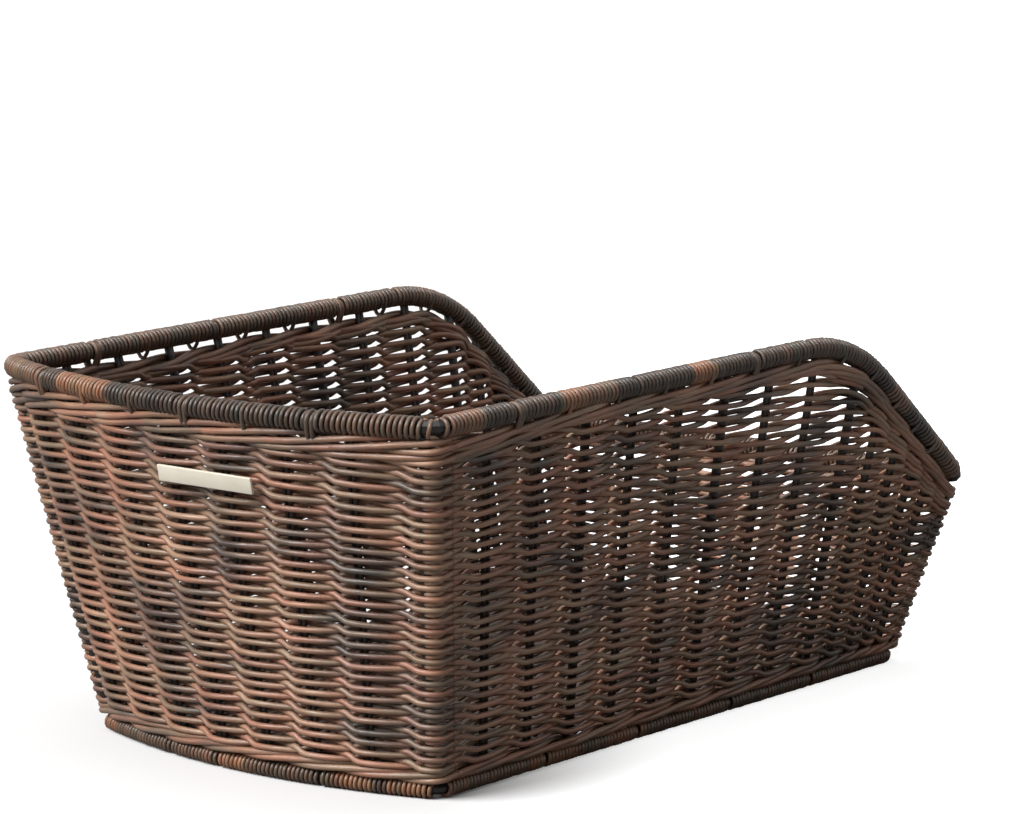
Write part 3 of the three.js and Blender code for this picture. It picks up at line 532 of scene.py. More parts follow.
def outwards_of(points, closed):
    """The level direction out of the basket at each point of a run."""
    first, last = points[-1:], points[:1]
    if not closed:
        first, last = 2 * points[:1] - points[1:2], 2 * points[-1:] - points[-2:-1]
    ring = np.vstack([first, points, last])
    tangent = ring[2:] - ring[:-2]
    outward = np.stack([tangent[:, 1], -tangent[:, 0], np.zeros(len(points))], axis=1)
    return outward / np.linalg.norm(outward, axis=1)[:, None]


def strand_path(points, knots, closed, move, rise, loose, pairs, waver):
    """Moves a run's points out and up by the strand's phase. A pair passes a post on its outer side."""
    n = len(points)
    index, length = np.arange(n), length_of(points)
    knots = with_neighbours(knots, n, closed)
    places = [knot[0] for knot in knots]
    phase = np.interp(index, places, [knot[1] for knot in knots])
    out, lift = move(phase, loose)
    out = out * np.interp(index, places, [knot[2] for knot in knots])
    for i, k, reach, post in knots:
        if post and pairs and 0 <= i <= n - 1:
            away = np.abs(length - np.interp(i, index, length))
            near = np.cos(np.pi / 2 * np.clip(away / POST_WINDOW, 0, 1)) ** 2
            front = float(np.sign(move(np.array([float(k)]), 0.0)[0][0]))
            out = blend(out, reach, near)
            lift = blend(lift, -POST_LIFT * front, near)
    jitter = np.interp(index, places, rng.normal(0, UNEVEN_HEIGHT, len(knots)))
    bulge = np.interp(index, places, np.abs(rng.normal(0, UNEVEN_REACH, len(knots))))
    moved = points + outwards_of(points, closed) * (out + bulge * np.sign(out))[:, None]
    moved[:, 2] += lift * rise + jitter
    moved[:, 2] += waver(length)
    return moved


# %% [markdown]
# ## The wales' and the courses' heights
# The upper wale follows the rim down the slope, closer and closer to it. It hangs lower beside the high
# corners and along the left wall, and hugs the rim along the right one. The courses fill the height between
# the lower and the upper wale in even steps, and the top ones bend a little to follow it. On the right wall
# they sag towards the slope, so the upper ones lie further apart and light shows through as small wedges.

# %% Heights
PITCH = 0.00635
LOW_WALE = BASE_Z + 0.0078
SPREAD = 0.0042
WALE_DROP = 0.0100
REAR_LENGTH, SIDE_LENGTH, FRONT_LENGTH = 0.33, 0.487, 0.32
ALONG_REAR, ALONG_SIDE, ALONG_FRONT = 0.048, 0.062, 0.04
WALE_HANGS = {"right": -0.0012, "left": 0.0030}
TOP_RAISED = {"right": 0.0026, "left": 0.0002}


def beside_high_corner(name, share):
    """1 at the high corners, and 0 some 100 mm away from them."""
    if name == "front":
        return 0 * share
    away = {"rear": np.minimum(share, 1 - share), "right": share, "left": 1 - share}[name]
    length, fade = (REAR_LENGTH, ALONG_REAR) if name == "rear" else (SIDE_LENGTH, ALONG_SIDE)
    return np.exp(-(away * length / fade) ** 2)


def along_side(name, share):
    """1 under the level rim of the long sides, away from the high corners."""
    return (1 - beside_high_corner(name, share)) * (name in ("right", "left"))


def down_slope(y):
    return np.clip((y - SLOPE_START) / (RIM_FRONT - SLOPE_START), 0, 1)


def rim_above(name, share):
    """The rim's height and steepness over a wall, and how far down the slope it is."""
    if name == "rear":
        return RIM_Z + 0 * share, 1 + 0 * share, 0 * share
    if name == "front":
        return RIM_LOW_Z + 0 * share, 1 + 0 * share, 1 + 0 * share
    y = blend(RIM_CORNER, RIM_FRONT, share if name == "right" else 1 - share)
    return rim_height(y), rim_steepness(y), down_slope(y)


def upper_wale(row):
    """Row 0 is the upper one. Its drop below the rim grows at the high corners and shrinks down the slope."""
    def height(name, share):
        z, steep, down = rim_above(name, share)
        corner = beside_high_corner(name, share)
        hang = WALE_HANGS.get(name, 0.0) * (1 - corner) * (1 - down)
        drop = WALE_DROP + (0.0008 + 0.0028 * row) * corner + hang - 0.0018 * down
        if name == "front":
            from_end = np.minimum(share, 1 - share) * FRONT_LENGTH
            drop = drop + 0.0014 * (1 - np.exp(-(from_end / ALONG_FRONT) ** 2))
        return z - (drop + row * (SPREAD - 0.0008 * along_side(name, share)) * (1 - 0.50 * down)) * steep
    return height


OVER_WALE, UNDER_WALE, UNDER_LOW_RIM = 0.0066, 0.0046, 0.0195
CORNER_DIP = 0.0036
SAG = 0.0046
first_course = LOW_WALE + OVER_WALE
last_course = RIM_Z - WALE_DROP - SPREAD - UNDER_WALE
course_count = int(round((last_course - first_course) / PITCH)) + 1
pitch = (last_course - first_course) / (course_count - 1)
whole_count = int((RIM_LOW_Z - UNDER_LOW_RIM - first_course) / pitch) + 1
print("courses:", course_count, "of which whole loops:", whole_count, "pitch, mm:", round(1000 * pitch, 2))


def loosened(y):
    """1 from past the middle of the basket to the start of the slope, and 0 well before and after it."""
    return ramp(y, -0.03, 0.06) * (1 - ramp(y, 0.17, 0.24))


def course_height(course):
    level = first_course + course * pitch
    part = course / (course_count - 1)
    sag = np.interp(part, [0.0, 0.62, 1.0], [0.0, 1.0, 0.0])

    def height(name, share):
        raised = TOP_RAISED.get(name, 0.0) * along_side(name, share)
        z = level + part ** 2.5 * (raised - CORNER_DIP * beside_high_corner(name, share))
        if name == "right":
            z = z - SAG * sag * loosened(blend(BASE_CORNER, RIM_FRONT, share))
        return z
    return height


def waver_of(course):
    """Slow waves up and down. Two are shared by neighbouring courses, and two are the course's own."""
    slow = rng.uniform(0, 2 * math.pi, 3)
    waves = ((0.00045, 0.023, 0.28 * course), (0.00040, 0.051, -0.41 * course), (0.00016, 0.0115, slow[0]),
             (0.00022, 0.083, slow[1]))

    def waver(length):
        return sum(height * np.sin(length / run + start) for height, run, start in waves)
    return waver


def looseness(points):
    """1 in the upper part of the right wall towards the slope, and 0 in the rest of the weave."""
    return loosened(points[:, 1]) * ramp(points[:, 2], 0.112, 0.135) * (points[:, 0] > 0)


# %% [markdown]
# ## Splitting the courses between the walls
# The strands run on round the corners, but each wall is a piece of its own. So each loop is cut a centimetre
# past the posts on the long sides, and its parts go to their walls. After one turn a strand has changed
# places with its partner, so a course is one strand that goes round twice, and a wale one that goes round
# three times. Its tone changes where a new length of strand was started. The left wall is seen from inside,
# where the weave looks more open, so its strands are a little thicker and its pairs lie further apart.

# %% Share the strands out to the walls
PAST_POST = 0.010
LEFT_WIDER = 1.16
pieces = {name: {"paths": [], "tones": [], "widths": []} for name in WALLS}


def tone_line(path):
    """Tones along a path, with a new length of strand every metre or so."""
    shortest, longest = 0.35, 1.1
    length = length_of(path)
    cuts = np.cumsum(rng.uniform(shortest, longest, int(length[-1] / shortest) + 2))
    values = rng.uniform(0, 1, len(cuts) + 1)
    return values[np.searchsorted(cuts, length)]


def walls_of(points):
    up = points[:, 2] - BASE_Z
    corner = blend(BASE_CORNER, RIM_CORNER, up / (RIM_Z - BASE_Z)) + PAST_POST
    far = blend(BASE_FRONT, RIM_FRONT, up / (RIM_LOW_Z - BASE_Z)) - PAST_POST
    names = np.where(points[:, 0] > 0, "right", "left ").astype("<U5")
    names[points[:, 1] > far] = "front"
    names[points[:, 1] < corner] = "rear"
    return np.char.strip(names)


def share_out(path, names, width, closed):
    tones = tone_line(path)
    if closed:
        turn = int(np.argmax(names != names[0]))
        path, names, tones = (np.roll(a, -turn, axis=0) for a in (path, names, tones))
        path, names, tones = np.vstack([path, path[:1]]), np.append(names, "end"), np.append(tones, tones[0])
    changes = [0] + [i for i in range(1, len(names)) if names[i] != names[i - 1]]
    if not closed:
        changes.append(len(names))
    for start, stop in zip(changes[:-1], changes[1:]):
        part = path[start:stop + 1]
        if len(part) > 2:
            wall = pieces[names[start]]
            wall["paths"].append(part)
            wall["tones"].append(tones[start:stop + 1])
            wider = LEFT_WIDER if names[start] == "left" else 1.0
            wall["widths"].append(np.full(len(part), width * wider))


# %% Weave the whole loops
RISE = 0.00153
LEFT_APART = 0.38
WIDTHS = (0.96, 1.03)


def rises_of(names):
    """How far strands go up and down. The change to the left wall's value is spread over nine points."""
    n = len(names)
    on_left = np.convolve(np.tile(names == "left", 3), np.ones(9) / 9, mode="same")[n:2 * n]
    return RISE * (1 + LEFT_APART * on_left)


for course in range(whole_count):
    points, knots = lay(WHOLE, course_height(course), True)
    names, loose, waver = walls_of(points), looseness(points), waver_of(course)
    rises = rises_of(names)
    turns = [strand_path(points, knots, True, pairing(s), rises, loose, True, waver) for s in (0, 1)]
    share_out(np.vstack(turns), np.tile(names, 2), rng.uniform(*WIDTHS), True)
print("strands on each wall:", {name: len(wall["paths"]) for name, wall in pieces.items()})

# %% [markdown]
# The upper courses start and end on the sloping edges of the long walls. A course keeps its level until it
# nears the wale. There its strands bend down and run along under the wale until they tuck in behind it.

# %% Courses that end on the slope
TAIL_START = 0.0092
TAIL_END = 0.0026
TAIL_RUN = 0.032
FAR_HALF = 0.4


def sloping(course):
    """A course's height along the right wall's far half, and the share at which its tail ends."""
    shares = np.linspace(FAR_HALF, 1.0, 1400)
    y = blend(RIM_CORNER, RIM_FRONT, shares)
    level = course_height(course)("right", shares)
    wale = upper_wale(1)("right", shares)
    steep = rim_steepness(y)
    gap = min(TAIL_START, wale[0] - level[0])
    begin = int(np.argmax(wale - gap * steep < level - 0.0006))
    run = length_of(np.stack([y, wale, 0 * y], axis=1))
    into = np.clip((run - run[begin]) / TAIL_RUN, 0, 1)
    under = wale - blend(gap, min(gap, TAIL_END), into) * steep
    height = np.where(np.arange(len(shares)) < begin, level, np.minimum(level, under))
    padded = np.concatenate([np.full(24, height[0]), height, np.full(24, height[-1])])
    height = np.convolve(padded, np.ones(49) / 49, mode="valid")
    stop = int(np.argmax(into >= 1)) if (into >= 1).any() else len(shares)
    return shares, height, shares[min(stop, len(shares) - 14)]


for course in range(whole_count, course_count):
    shares, slope_height, stop = sloping(course)
    level = course_height(course)

    def height(name, share):
        if name == "rear":
            return level(name, share)
        own = share if name == "right" else 1 - share
        return np.where(own < FAR_HALF, level(name, share), np.interp(own, shares, slope_height))

    points, knots = lay([("left", 1 - stop, 1.0), ("rear", 0.0, 1.0), ("right", 0.0, stop)], height, False)
    names, loose, waver = walls_of(points), looseness(points), waver_of(course)
    names[(names == "front") & (points[:, 0] > 0)] = "right"
    names[(names == "front") & (points[:, 0] < 0)] = "left"
    for s in (0, 1):
        path = strand_path(points, knots, False, pairing(s), rises_of(names), loose, True, waver)
        share_out(path, names, rng.uniform(*WIDTHS), False)
print("strands on each wall:", {name: len(wall["paths"]) for name, wall in pieces.items()})

# %% [markdown]
# The wales come last: two rows under the rim and one on the base ring. The upper two twist like a rope on the
# bowed end. Away from it they lie flatter, as a bundle of nearly parallel strands, and flatter still on the
# slope.

# %% Wales, and the four woven walls
FLATTER, FLATTER_ON_SLOPE = 0.40, 0.12
for height, rise, width in ((upper_wale(0), 0.0034, 1.10), (upper_wale(1), 0.0026, 1.06),
                            (lambda name, share: LOW_WALE + 0 * share, 0.0021, 1.08)):
    points, knots = lay(WHOLE, height, True)
    names = walls_of(points)
    beside = ramp(points[:, 1], RIM_CORNER, RIM_CORNER + 0.09) * (points[:, 2] > 0.05)
    rises = rise * (1 - beside * (FLATTER + FLATTER_ON_SLOPE * down_slope(points[:, 1])))
    turns = [strand_path(points, knots, True, waling(m), rises, 0.0, False, waver_of(3)) for m in range(3)]
    share_out(np.vstack(turns), np.tile(names, 3), width, True)

for name, wall in pieces.items():
    woven = strands("weave_" + name, wall["paths"], STRAND, 8, wall["tones"], wall["widths"])
    dress(woven, wall_finish, "weave_strand", "woven_wall_" + name)

# %% [markdown]
# ## Windings
# The rods of the rim and of the base ring are hidden under strand, wound tightly turn by turn. A helix round
# the rod's centreline gives each winding as one unbroken strand. No two turns are quite alike, so the pitch
# and the reach vary slightly. The winder changes strand every few centimetres, so tan, brown and dark bands
# follow each other. Halfway between two stakes one turn is drawn down round the wale and ties it to the rim.

# %% A helix round a rod
CLEAR = 0.0001
UNEVEN_PITCH = 0.04
UNEVEN_RADIUS = 0.00009


def between(path, start, stop):
    """The part of a path from one running length to another, counted from the end if not positive."""
    total = length_of(path)[-1]
    stop = total + stop if stop <= 0 else stop
    return at_lengths(path, np.linspace(start, stop, max(6, int((stop - start) / 0.002))))


def helix(path, rod, pitch, dips=(), depth=0.0046, steps=14):
    """A wound strand. Each dip is a place along the path where one turn reaches down by the depth."""
    total = length_of(path)[-1]
    turns = max(1, int(round(total / pitch)))
    marks = np.linspace(0, 1, turns + 1)
    marks[1:-1] += rng.normal(0, UNEVEN_PITCH, turns - 1) / turns
    u = np.linspace(0, turns, turns * steps + 1)
    at = np.interp(u, np.arange(turns + 1), marks) * total
    lengths = length_of(path)
    centre = values_at(at, lengths, path)
    along = values_at(at, lengths, np.gradient(path, lengths, axis=0))
    along /= np.linalg.norm(along, axis=1)[:, None]
    upright = np.array([0.0, 0.0, 1.0]) - along * along[:, 2:3]
    upright /= np.linalg.norm(upright, axis=1)[:, None]
    side = np.cross(along, upright)
    angle = 2 * math.pi * u + math.pi / 2
    swell = np.interp(u, np.arange(turns + 1), rng.normal(0, UNEVEN_RADIUS, turns + 1))
    end = np.clip(np.minimum(u, turns - u) / 0.5, 0, 1)
    radius = rod + CLEAR + WIND * blend(0.1, 1.0, end) + swell
    coil = centre + (np.cos(angle) * radius)[:, None] * side + (np.sin(angle) * radius)[:, None] * upright
    for place in dips:
        turn = math.floor(np.interp(place, marks * total, np.arange(turns + 1)))
        own = (u >= turn) & (u <= turn + 1)
        low = np.where(own, np.clip(-np.sin(angle), 0, 1) ** 0.7, 0)
        inward = -0.3 * np.cos(angle)
        coil += (low * depth)[:, None] * -upright + (low * inward * radius)[:, None] * side
    return coil, at / total


# %% Wind a rod in runs
LASHING_HALF = 0.0026


def wind(name, node, slot, path, rod, pitch, bands, dips=(), groups=((0.0, 1.0),), gaps=(), loose_turns=()):
    """bands: (share at which it ends, tone). gaps: left free for a lashing. loose_turns: (path, tone)."""
    total = length_of(path)[-1]
    paths, tones, runs = [], [], []
    for start, stop in groups:
        a, b = start * total, stop * total
        for cut in sorted(gaps):
            if a < cut < b:
                runs.append((a, cut - LASHING_HALF))
                a = cut + LASHING_HALF
        runs.append((a, b))
    for a, b in runs:
        if b - a < 2 * pitch:
            continue
        own_dips = [dip - a for dip in dips if a + pitch < dip < b - pitch]
        coil, share = helix(between(path, a, b), rod, pitch, own_dips)
        share = (a + share * (b - a)) / total
        value = np.array([tone for _, tone in bands])[np.searchsorted([end for end, _ in bands[:-1]], share)]
        turns = np.floor(share * total / pitch).astype(int)
        own = rng.normal(0, 0.05, turns.max() + 2)
        paths.append(coil)
        tones.append(np.clip(value + own[turns], 0, 1))
    for line, tone in loose_turns:
        paths.append(helix(line, rod, length_of(line)[-1])[0])
        tones.append(tone)
    dress(strands(name, paths, WIND, 6, tones), wound_finish, slot, node)


# %% [markdown]
# The rim is wound in eight runs, as in CAD. The winding goes on round the left high corner, while the right
# one is left open, with the bare rod showing between two loose turns.

# %% Places on the rim
RIM_PITCH = 0.0032
SET_BACK = 0.001


def straight(a, b, steps=60):
    return np.linspace(np.array(a, float), np.array(b, float), steps)


def mirrored(path):
    return (path * np.array([-1, 1, 1]))[::-1]


def bow_line(half, corner_y, bow, z, steps=80):
    x, y = bow_point(half, corner_y, bow, np.linspace(0, 1, steps))
    return np.stack([x, y, np.full(steps, z)], axis=1)


def places_on(path, spots, limit):
    """The running lengths at which a path passes the spots that lie within a limit of it."""
    lengths = length_of(path)
    away = [np.linalg.norm(path[:, :len(spot)] - spot, axis=1) for spot in spots]
    return [float(lengths[np.argmin(a)]) for a in away if a.min() < limit]


def places_between(name, path, z):
    """Running lengths on a rim path halfway between the wall's stakes."""
    spots = []
    for a, b in zip(STATIONS[name][:-1], STATIONS[name][1:]):
        share = (a + b) / 2
        y_rim = blend(RIM_CORNER, RIM_FRONT, share if name != "left" else 1 - share)
        height = z if name in ("rear", "front") else float(rim_height(y_rim))
        spots.append(WALLS[name](np.array([share]), np.array([height]))[0])
    return places_on(path, spots, 0.006)


lashings = {node: np.array(sum(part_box(node), Vector()) / 2) for node in nodes_named("lashing")}


def gaps_on(side, path):
    """Where the lashings of a side sit on a rim path, as seen from above."""
    return places_on(path, [middle[:2] for node, middle in lashings.items() if side in node], 0.012)


# %% The rim's runs and their bands of tone
bow = bow_line(RIM_HALF, RIM_CORNER, RIM_BOW, RIM_Z)
left_corner = eased((-RIM_HALF, 0, RIM_Z), (-RIM_HALF, RIM_CORNER, RIM_Z), bow[6], 0.009, 12)
rim_rear = np.vstack([[-RIM_HALF, RIM_CORNER + CORNER_EASE + SET_BACK, RIM_Z], left_corner,
                      between(bow, 0.0105, -(CORNER_EASE + SET_BACK))])
level_start = RIM_CORNER + CORNER_EASE + SET_BACK
level_middle = (RIM_CORNER + CORNER_EASE + SLOPE_START) / 2
near = straight((RIM_HALF, level_start, RIM_Z), (RIM_HALF, level_middle, RIM_Z))
far = straight((RIM_HALF, level_middle, RIM_Z), (RIM_HALF, SLOPE_START, RIM_Z))
slope = between(np.vstack([shoulder, [RIM_HALF, RIM_FRONT, RIM_LOW_Z]]), 0.0003, -(CORNER_EASE + SET_BACK))
low = straight((RIM_HALF - CORNER_EASE - SET_BACK, RIM_FRONT, RIM_LOW_Z),
               (-RIM_HALF + CORNER_EASE + SET_BACK, RIM_FRONT, RIM_LOW_Z))

rear_bands = [(0.18, 0.52), (0.23, 0.22), (0.37, 0.84), (0.60, 0.22), (0.84, 0.30), (1.0, 0.50)]
near_bands = [(0.19, 0.62), (0.36, 0.16), (0.575, 0.24), (0.73, 0.76), (0.88, 0.50), (1.0, 0.16)]
far_bands = [(0.31, 0.14), (0.44, 0.72), (0.7, 0.16), (1.0, 0.26)]
slope_bands = [(0.30, 0.24), (0.50, 0.16), (0.62, 0.50), (0.80, 0.16), (0.92, 0.36), (1.0, 0.52)]
dark_bands = [(0.25, 0.36), (0.5, 0.42), (0.8, 0.36), (1.0, 0.44)]
print("rim's runs, mm:", mm([length_of(line)[-1] for line in (rim_rear, near, far, slope, low)]))

# %% Wind the rim
right_corner = eased(bow[-6], (RIM_HALF, RIM_CORNER, RIM_Z), (RIM_HALF, 0, RIM_Z), CORNER_EASE, 15)
wind("winding_rim_rear", "rim_winding_rear", "winding_grey_brown", rim_rear, ROD_RIM, RIM_PITCH, rear_bands,
     places_between("rear", rim_rear, RIM_Z), gaps=gaps_on("rear", rim_rear),
     loose_turns=[(right_corner[:6], 0.72), (right_corner[11:], 0.5)])
for side_name, turned in (("right", lambda p: p), ("left", mirrored)):
    for part, line, slot, bands in (("near", near, "winding_tan", near_bands),
                                    ("far", far, "winding_grey_brown", far_bands),
                                    ("slope", slope, "winding_dark", slope_bands)):
        path = turned(line)
        own_bands = bands if side_name == "right" else dark_bands
        wind(f"winding_rim_{side_name}_{part}", f"rim_winding_{side_name}_{part}", slot, path, ROD_RIM,
             RIM_PITCH, own_bands, places_between(side_name, path, RIM_Z), gaps=gaps_on(side_name, path))
wind("winding_rim_front", "rim_winding_front", "winding_grey_brown", low, ROD_RIM, RIM_PITCH, dark_bands,
     places_between("front", low, RIM_LOW_Z))

# %% [markdown]
# The base ring is wound in groups of turns, with a narrow gap of bare rod between them, where the strands of
# the lower wale pass.

# %% Wind the base ring
BASE_PITCH = 0.0029
GROUP_GAP = 0.0019
base_rear = between(bow_line(BASE_HALF, BASE_CORNER, BASE_BOW, BASE_Z), 0.003, -0.0035)
base_side = straight((BASE_HALF, BASE_CORNER + 0.0035, BASE_Z), (BASE_HALF, BASE_FRONT - 0.005, BASE_Z))
base_front = straight((BASE_HALF - CORNER_EASE, BASE_FRONT, BASE_Z),
                      (-BASE_HALF + CORNER_EASE, BASE_FRONT, BASE_Z))


def groups_at(cuts, path):
    gap = GROUP_GAP / length_of(path)[-1]
    edges = [0.0, *cuts, 1.0]
    return [(a + (gap if a else 0), b) for a, b in zip(edges[:-1], edges[1:])]


base_rear_bands = [(0.06, 0.76), (0.28, 0.44), (0.438, 0.52), (0.535, 0.84), (0.725, 0.44), (0.777, 0.52),
                   (0.865, 0.84), (0.90, 0.34), (1.0, 0.78)]
base_side_bands = [(0.10, 0.56), (0.17, 0.50), (0.27, 0.74), (0.33, 0.46), (0.42, 0.70), (0.50, 0.44),
                   (0.60, 0.60), (0.68, 0.40), (0.78, 0.50), (0.86, 0.62), (1.0, 0.48)]
for name, line, bands, cuts in (("rear", base_rear, base_rear_bands, (0.28, 0.438, 0.725)),
                                ("right", base_side, base_side_bands, (0.20, 0.40, 0.61, 0.80)),
                                ("left", mirrored(base_side), base_side_bands, (0.21, 0.42, 0.60, 0.81)),
                                ("front", base_front, base_rear_bands, (0.34, 0.66))):
    wind("winding_base_" + name, "base_winding_" + name, "winding_dark", line, ROD_BASE, BASE_PITCH, bands,
         groups=groups_at(cuts, line))

# %% [markdown]
# ## Lashings
# At seven places a separate strand ties the upper wale to the rim: two turns that lie among the turns of the
# winding, reach down through the windows and pass round the wale's top strand.

# %% Lashings
TURN = 0.0029
TIE_Z = RIM_Z - 0.0005
TIE_DEPTH = 0.0052
for node, middle in lashings.items():
    side_name = next(s for s in ("rear", "right", "left") if s in node)
    share = nearest_share(WALLS[side_name], TIE_Z, middle)
    ends = WALLS[side_name](np.array([share - 0.01, share, share + 0.01]), np.full(3, TIE_Z))
    forward = (ends[2] - ends[0]) / np.linalg.norm(ends[2] - ends[0])
    line = straight(ends[1] - forward * TURN, ends[1] + forward * TURN, 8)
    coil, _ = helix(line, ROD_RIM, TURN, [0.0014, 0.0044], TIE_DEPTH, 24)
    tie = strands(node.replace("lashing", "tie"), [coil], WIND * 1.05, 8, [rng.uniform(0.25, 0.55)])
    dress(tie, lash_finish, "lashing_strand", node)

# %% [markdown]
# ## Stakes and hoops
# Each doubled stake is two round strands side by side. The side stakes are one long U: down a wall, under the
# floor weave, and up the other wall. Three of them are bars of steel, the hoops. All of them end inside the
# rim's winding, which hides their tops.

# %% Doubled stakes and steel hoops
SIDE_BY_SIDE = (-0.00158, 0.00158)
BELOW_RIM = 0.0046
STAKE_BEND = 0.0055
HOOP_BEND = 0.009
lacquer = rattan("dark_lacquer", [srgb(24, 22, 21), srgb(40, 34, 31)], 0.3, 0.5, 0.2, rough=0.34)


def u_line(share, shift, bend):
    """Down the right wall, under the floor and up the left wall, moved along the basket by the shift."""
    y_rim = blend(RIM_CORNER, RIM_FRONT, share)
    top_z = rim_height(y_rim) - BELOW_RIM * rim_steepness(y_rim)
    top, foot = right_wall(np.array([share, share]), np.array([top_z, FLOOR_Z]))
    turn = eased(top, foot, (0, foot[1], FLOOR_Z), bend, 7)
    half = np.vstack([np.linspace(top, turn[0], 30)[:-1], turn])
    half[:, 1] += shift
    return np.vstack([half, half[::-1] * np.array([-1, 1, 1])])


def end_line(wall, share, top, shift):
    """Up the rear or the front wall, moved across the basket by the shift."""
    line = wall(np.full(30, share), np.linspace(BASE_Z + 0.0060, top - BELOW_RIM, 30))
    line[:, 0] += shift
    return line


def doubled_stake(name, node, paths):
    stake = strands(name, paths, STAKE, 8, rng.uniform(0, 1, 2))
    dress(stake, stake_finish, "stake_strand", node)


for share, (_, node) in zip(SIDE, side_stakes):
    if node.startswith("cross"):
        paths = [u_line(share, s, STAKE_BEND) for s in SIDE_BY_SIDE]
        doubled_stake(node.replace("cross_stake", "side_stake"), node, paths)
    else:
        path = u_line(share, 0.0, HOOP_BEND)
        hoop = strands(node.replace("steel_hoop", "hoop_bar"), [path], HOOP_RADIUS, 12, [0.5])
        dress(hoop, lacquer, "steel_wire", node)
for names, stations, wall, top in ((rear_names, REAR, rear_wall, RIM_Z),
                                   (front_names, FRONT, front_wall, RIM_LOW_Z)):
    for node, share in zip(names, stations):
        paths = [end_line(wall, share, top, s) for s in SIDE_BY_SIDE]
        doubled_stake(node.replace("_stake", "_wall_stake"), node, paths)

# %% [markdown]
# ## The woven floor
# The floor is woven lengthways in pairs of strands like the walls, over and under the cross stakes. Its
# strands end inside the base ring's winding.

# %% Floor strands
FLOOR_PITCH = 0.0063
FLOOR_SIDE = 0.0017
INSIDE_RING = 0.0066
foot_y = right_wall(np.array(SIDE), np.full(len(SIDE), FLOOR_Z))[:, 1]
floor_width = 2 * (BASE_HALF - 0.0045)
rows = int(round(floor_width / FLOOR_PITCH)) + 1
ring_radius = bow_radius(BASE_HALF, BASE_BOW)
floor_paths = []
for row in range(rows):
    x = (row / (rows - 1) - 0.5) * floor_width
    start = BASE_CORNER - BASE_BOW + ring_radius - math.sqrt(ring_radius ** 2 - x * x) + INSIDE_RING
    y = np.linspace(start, BASE_FRONT - INSIDE_RING, 134)
    phase = np.interp(y, [foot_y[0] - 0.037, *foot_y, foot_y[-1] + 0.016], np.arange(-1, len(foot_y) + 1))
    reach = np.interp(y, foot_y, side_reach)
    for strand in (0, 1):
        angle = np.pi * (phase + strand)
        wander = 0.0004 * np.sin(y / 0.03 + row) + rng.normal(0, 0.00015)
        sideways, height = x + FLOOR_SIDE * np.sin(angle) + wander, FLOOR_Z + reach * np.cos(angle)
        floor_paths.append(np.stack([sideways, y, height], axis=1))
floor = strands("weave_floor", floor_paths, STRAND, 6, rng.uniform(0, 1, len(floor_paths)))
dress(floor, floor_finish, "floor_strand", "woven_floor")

# %% [markdown]
# ## The badge plate
# A small enamelled plate sits flat on the weave of the bowed end. It is a thin plate with rounded edges, so a
# cube is scaled to the node's own sizes, bevelled and turned to face outwards. It is left bare.

# %% Badge
corners = np.array([v.co[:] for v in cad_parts["badge_plate"].data.vertices])
centre = (corners.min(axis=0) + corners.max(axis=0)) / 2
spread = np.linalg.svd(corners - corners.mean(axis=0))[2]
sizes = [np.ptp((corners - centre) @ axis) for axis in spread]
print("badge sizes, mm:", [round(1000 * v, 1) for v in sizes])
bpy.ops.object.select_all(action="DESELECT")
bpy.ops.mesh.primitive_cube_add(size=1)
badge = bpy.context.view_layer.objects.active
badge.name = "badge_bare"
turned = Matrix([list(a) + [0] for a in spread] + [[0, 0, 0, 1]]).transposed()
badge.matrix_world = Matrix.Translation(Vector(centre)) @ turned @ Matrix.Diagonal((*sizes, 1))
bpy.ops.object.transform_apply(location=True, rotation=True, scale=True)
bevel = badge.modifiers.new("round", "BEVEL")
bevel.width = 0.0005
bevel.segments = 3
bpy.ops.object.modifier_apply(modifier="round")
close_and_turn_outwards()
bpy.ops.object.shade_smooth_by_angle(angle=0.6)
enamel, tree, shader = new_material("cream_enamel")
cloud = noise(tree, add_node(tree, "TexCoord", {}).outputs["Object"], 90.0, 2.0)
tint = coloured(tree, cloud, [srgb(214, 205, 186), srgb(232, 225, 208)])
tree.links.new(tint, shader.inputs["Base Color"])
shader.inputs["Roughness"].default_value = 0.35
dress(badge, enamel, "badge_cream", "badge_plate")

# %% [markdown]
# ## Lacquered steel
# The rods and posts stay as they are in CAD and get the dark lacquer of the hoops.

# %% Steel nodes
for name in nodes_named("rim_rod", "base_ring_rod", "corner_post"):
    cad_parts[name].data.materials.clear()
    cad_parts[name].data.materials.append(lacquer)
    print("lacquered:", name)

# %% [markdown]
# ## Floor, light and camera
# A large pale sheet of paper is the floor, and the key is a soft lamp high to the left of the camera: the
# bowed end is bright and the long side lies in shade, as in the photograph. The paper is pale for the camera
# alone and darker for all other rays, so it throws little light up at the basket. To the right of the basket
# it also glows for the camera. This is painted light, which paints out the basket's shadow there and keeps
# the paper white, while a soft shadow stays close to the basket.

# %% The paper floor
bpy.ops.object.select_all(action="DESELECT")
bpy.ops.mesh.primitive_plane_add(size=60, location=(0, 0, 0))
floor_plane = bpy.context.view_layer.objects.active
floor_plane.name = "studio_floor"
paper, tree, shader = new_material("studio_paper")
shader.inputs["Roughness"].default_value = 0.9
shader.inputs["Specular IOR Level"].default_value = 0.0
to_camera = add_node(tree, "LightPath", {}).outputs["Is Camera Ray"]
pale = mixed(tree, to_camera, (0.25, 0.25, 0.25, 1), (0.77, 0.77, 0.77, 1))
# Painted light: to the right of the basket the paper glows for the camera, which paints out the basket's
# shadow there.
place = add_node(tree, "TexCoord", {}).outputs["Object"]
across = add_node(tree, "VectorMath", {0: place, 1: (0.77, 0.64, 0.0)}, operation="DOT_PRODUCT")
painted_light_share = mapped(tree, across.outputs["Value"], -0.03, 0.12, 0.0, 0.80, interpolation_type="SMOOTHSTEP")
painted_light_glow = add_node(tree, "Emission", {"Strength": maths(tree, "MULTIPLY", to_camera, painted_light_share)})
both = add_node(tree, "AddShader", {0: shader.outputs["BSDF"], 1: painted_light_glow.outputs["Emission"]})
tree.links.new(pale, shader.inputs["Base Color"])
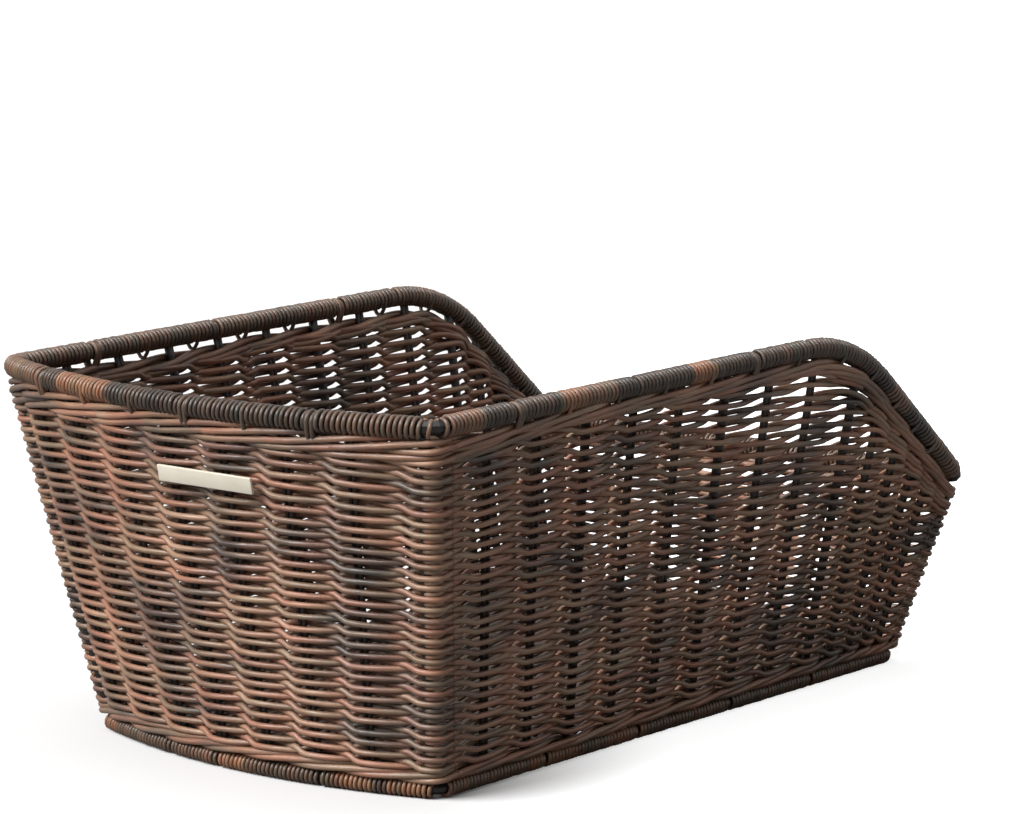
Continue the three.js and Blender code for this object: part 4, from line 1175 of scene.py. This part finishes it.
tree.links.new(both.outputs["Shader"], tree.nodes["Material Output"].inputs["Surface"])
floor_plane.data.materials.append(paper)
print("floor:", mm(floor_plane.dimensions))

# %% [markdown]
# The world is white for the camera and dim for the light that it sheds, so that the lamps make the shading.
# Rays that reflections send out meet a brighter world, which gives the strands and the steel their sheen.

# %% World and lamps
world = bpy.data.worlds.new("studio")
bpy.context.scene.world = world
world.use_nodes = True
tree = world.node_tree
rays = add_node(tree, "LightPath", {})
sheen = mapped(tree, rays.outputs["Is Glossy Ray"], 0.0, 1.0, 0.10, 0.66)
seen = maths(tree, "MAXIMUM", rays.outputs["Is Camera Ray"], sheen)
tree.nodes["Background"].inputs["Color"].default_value = (1, 1, 1, 1)
tree.links.new(seen, tree.nodes["Background"].inputs["Strength"])


def seen_from(azimuth, elevation):
    """The direction in which something at this azimuth and elevation stands, in radians."""
    level = math.cos(elevation)
    return Vector((math.sin(azimuth) * level, -math.cos(azimuth) * level, math.sin(elevation)))


def placed(name, data, turn):
    obj = bpy.data.objects.new(name, data)
    bpy.context.scene.collection.objects.link(obj)
    obj.rotation_mode = "QUATERNION"
    obj.rotation_quaternion = turn
    return obj


def lamp(name, azimuth, elevation, strength, spread):
    data = bpy.data.lights.new(name, "SUN")
    data.energy = strength
    data.angle = math.radians(spread)
    back = seen_from(math.radians(azimuth), math.radians(elevation))
    placed(name, data, back.to_track_quat("Z", "Y"))
    print("lamp", name, "strength", strength)


lamp("key", -24, 42, 4.35, 36)
lamp("top", 0, 84, 1.2, 56)
lamp("fill", 70, 40, 0.06, 60)

# %% [markdown]
# The camera's place and turn were fitted to the corners of the rim and of the base ring in the photograph.

# %% Camera
azimuth, elevation, tilt = math.radians(39.994), math.radians(10.071), math.radians(-0.190)
back = seen_from(azimuth, elevation)
right = Vector((math.cos(azimuth), math.sin(azimuth), 0))
up = back.cross(right)
turned_right = right * math.cos(tilt) + up * math.sin(tilt)
turned_up = up * math.cos(tilt) - right * math.sin(tilt)
turn = Matrix((turned_right, turned_up, back)).transposed().to_quaternion()
camera = placed("camera", bpy.data.cameras.new("camera"), turn)
camera.data.sensor_width = 36
camera.data.lens = 161.72
camera.data.clip_end = 200
camera.location = back * 2.7286 + right * 0.01863 + up * 0.17484
bpy.context.scene.camera = camera
bpy.context.scene.view_settings.view_transform = "Standard"
print("camera at, mm:", mm(camera.location))
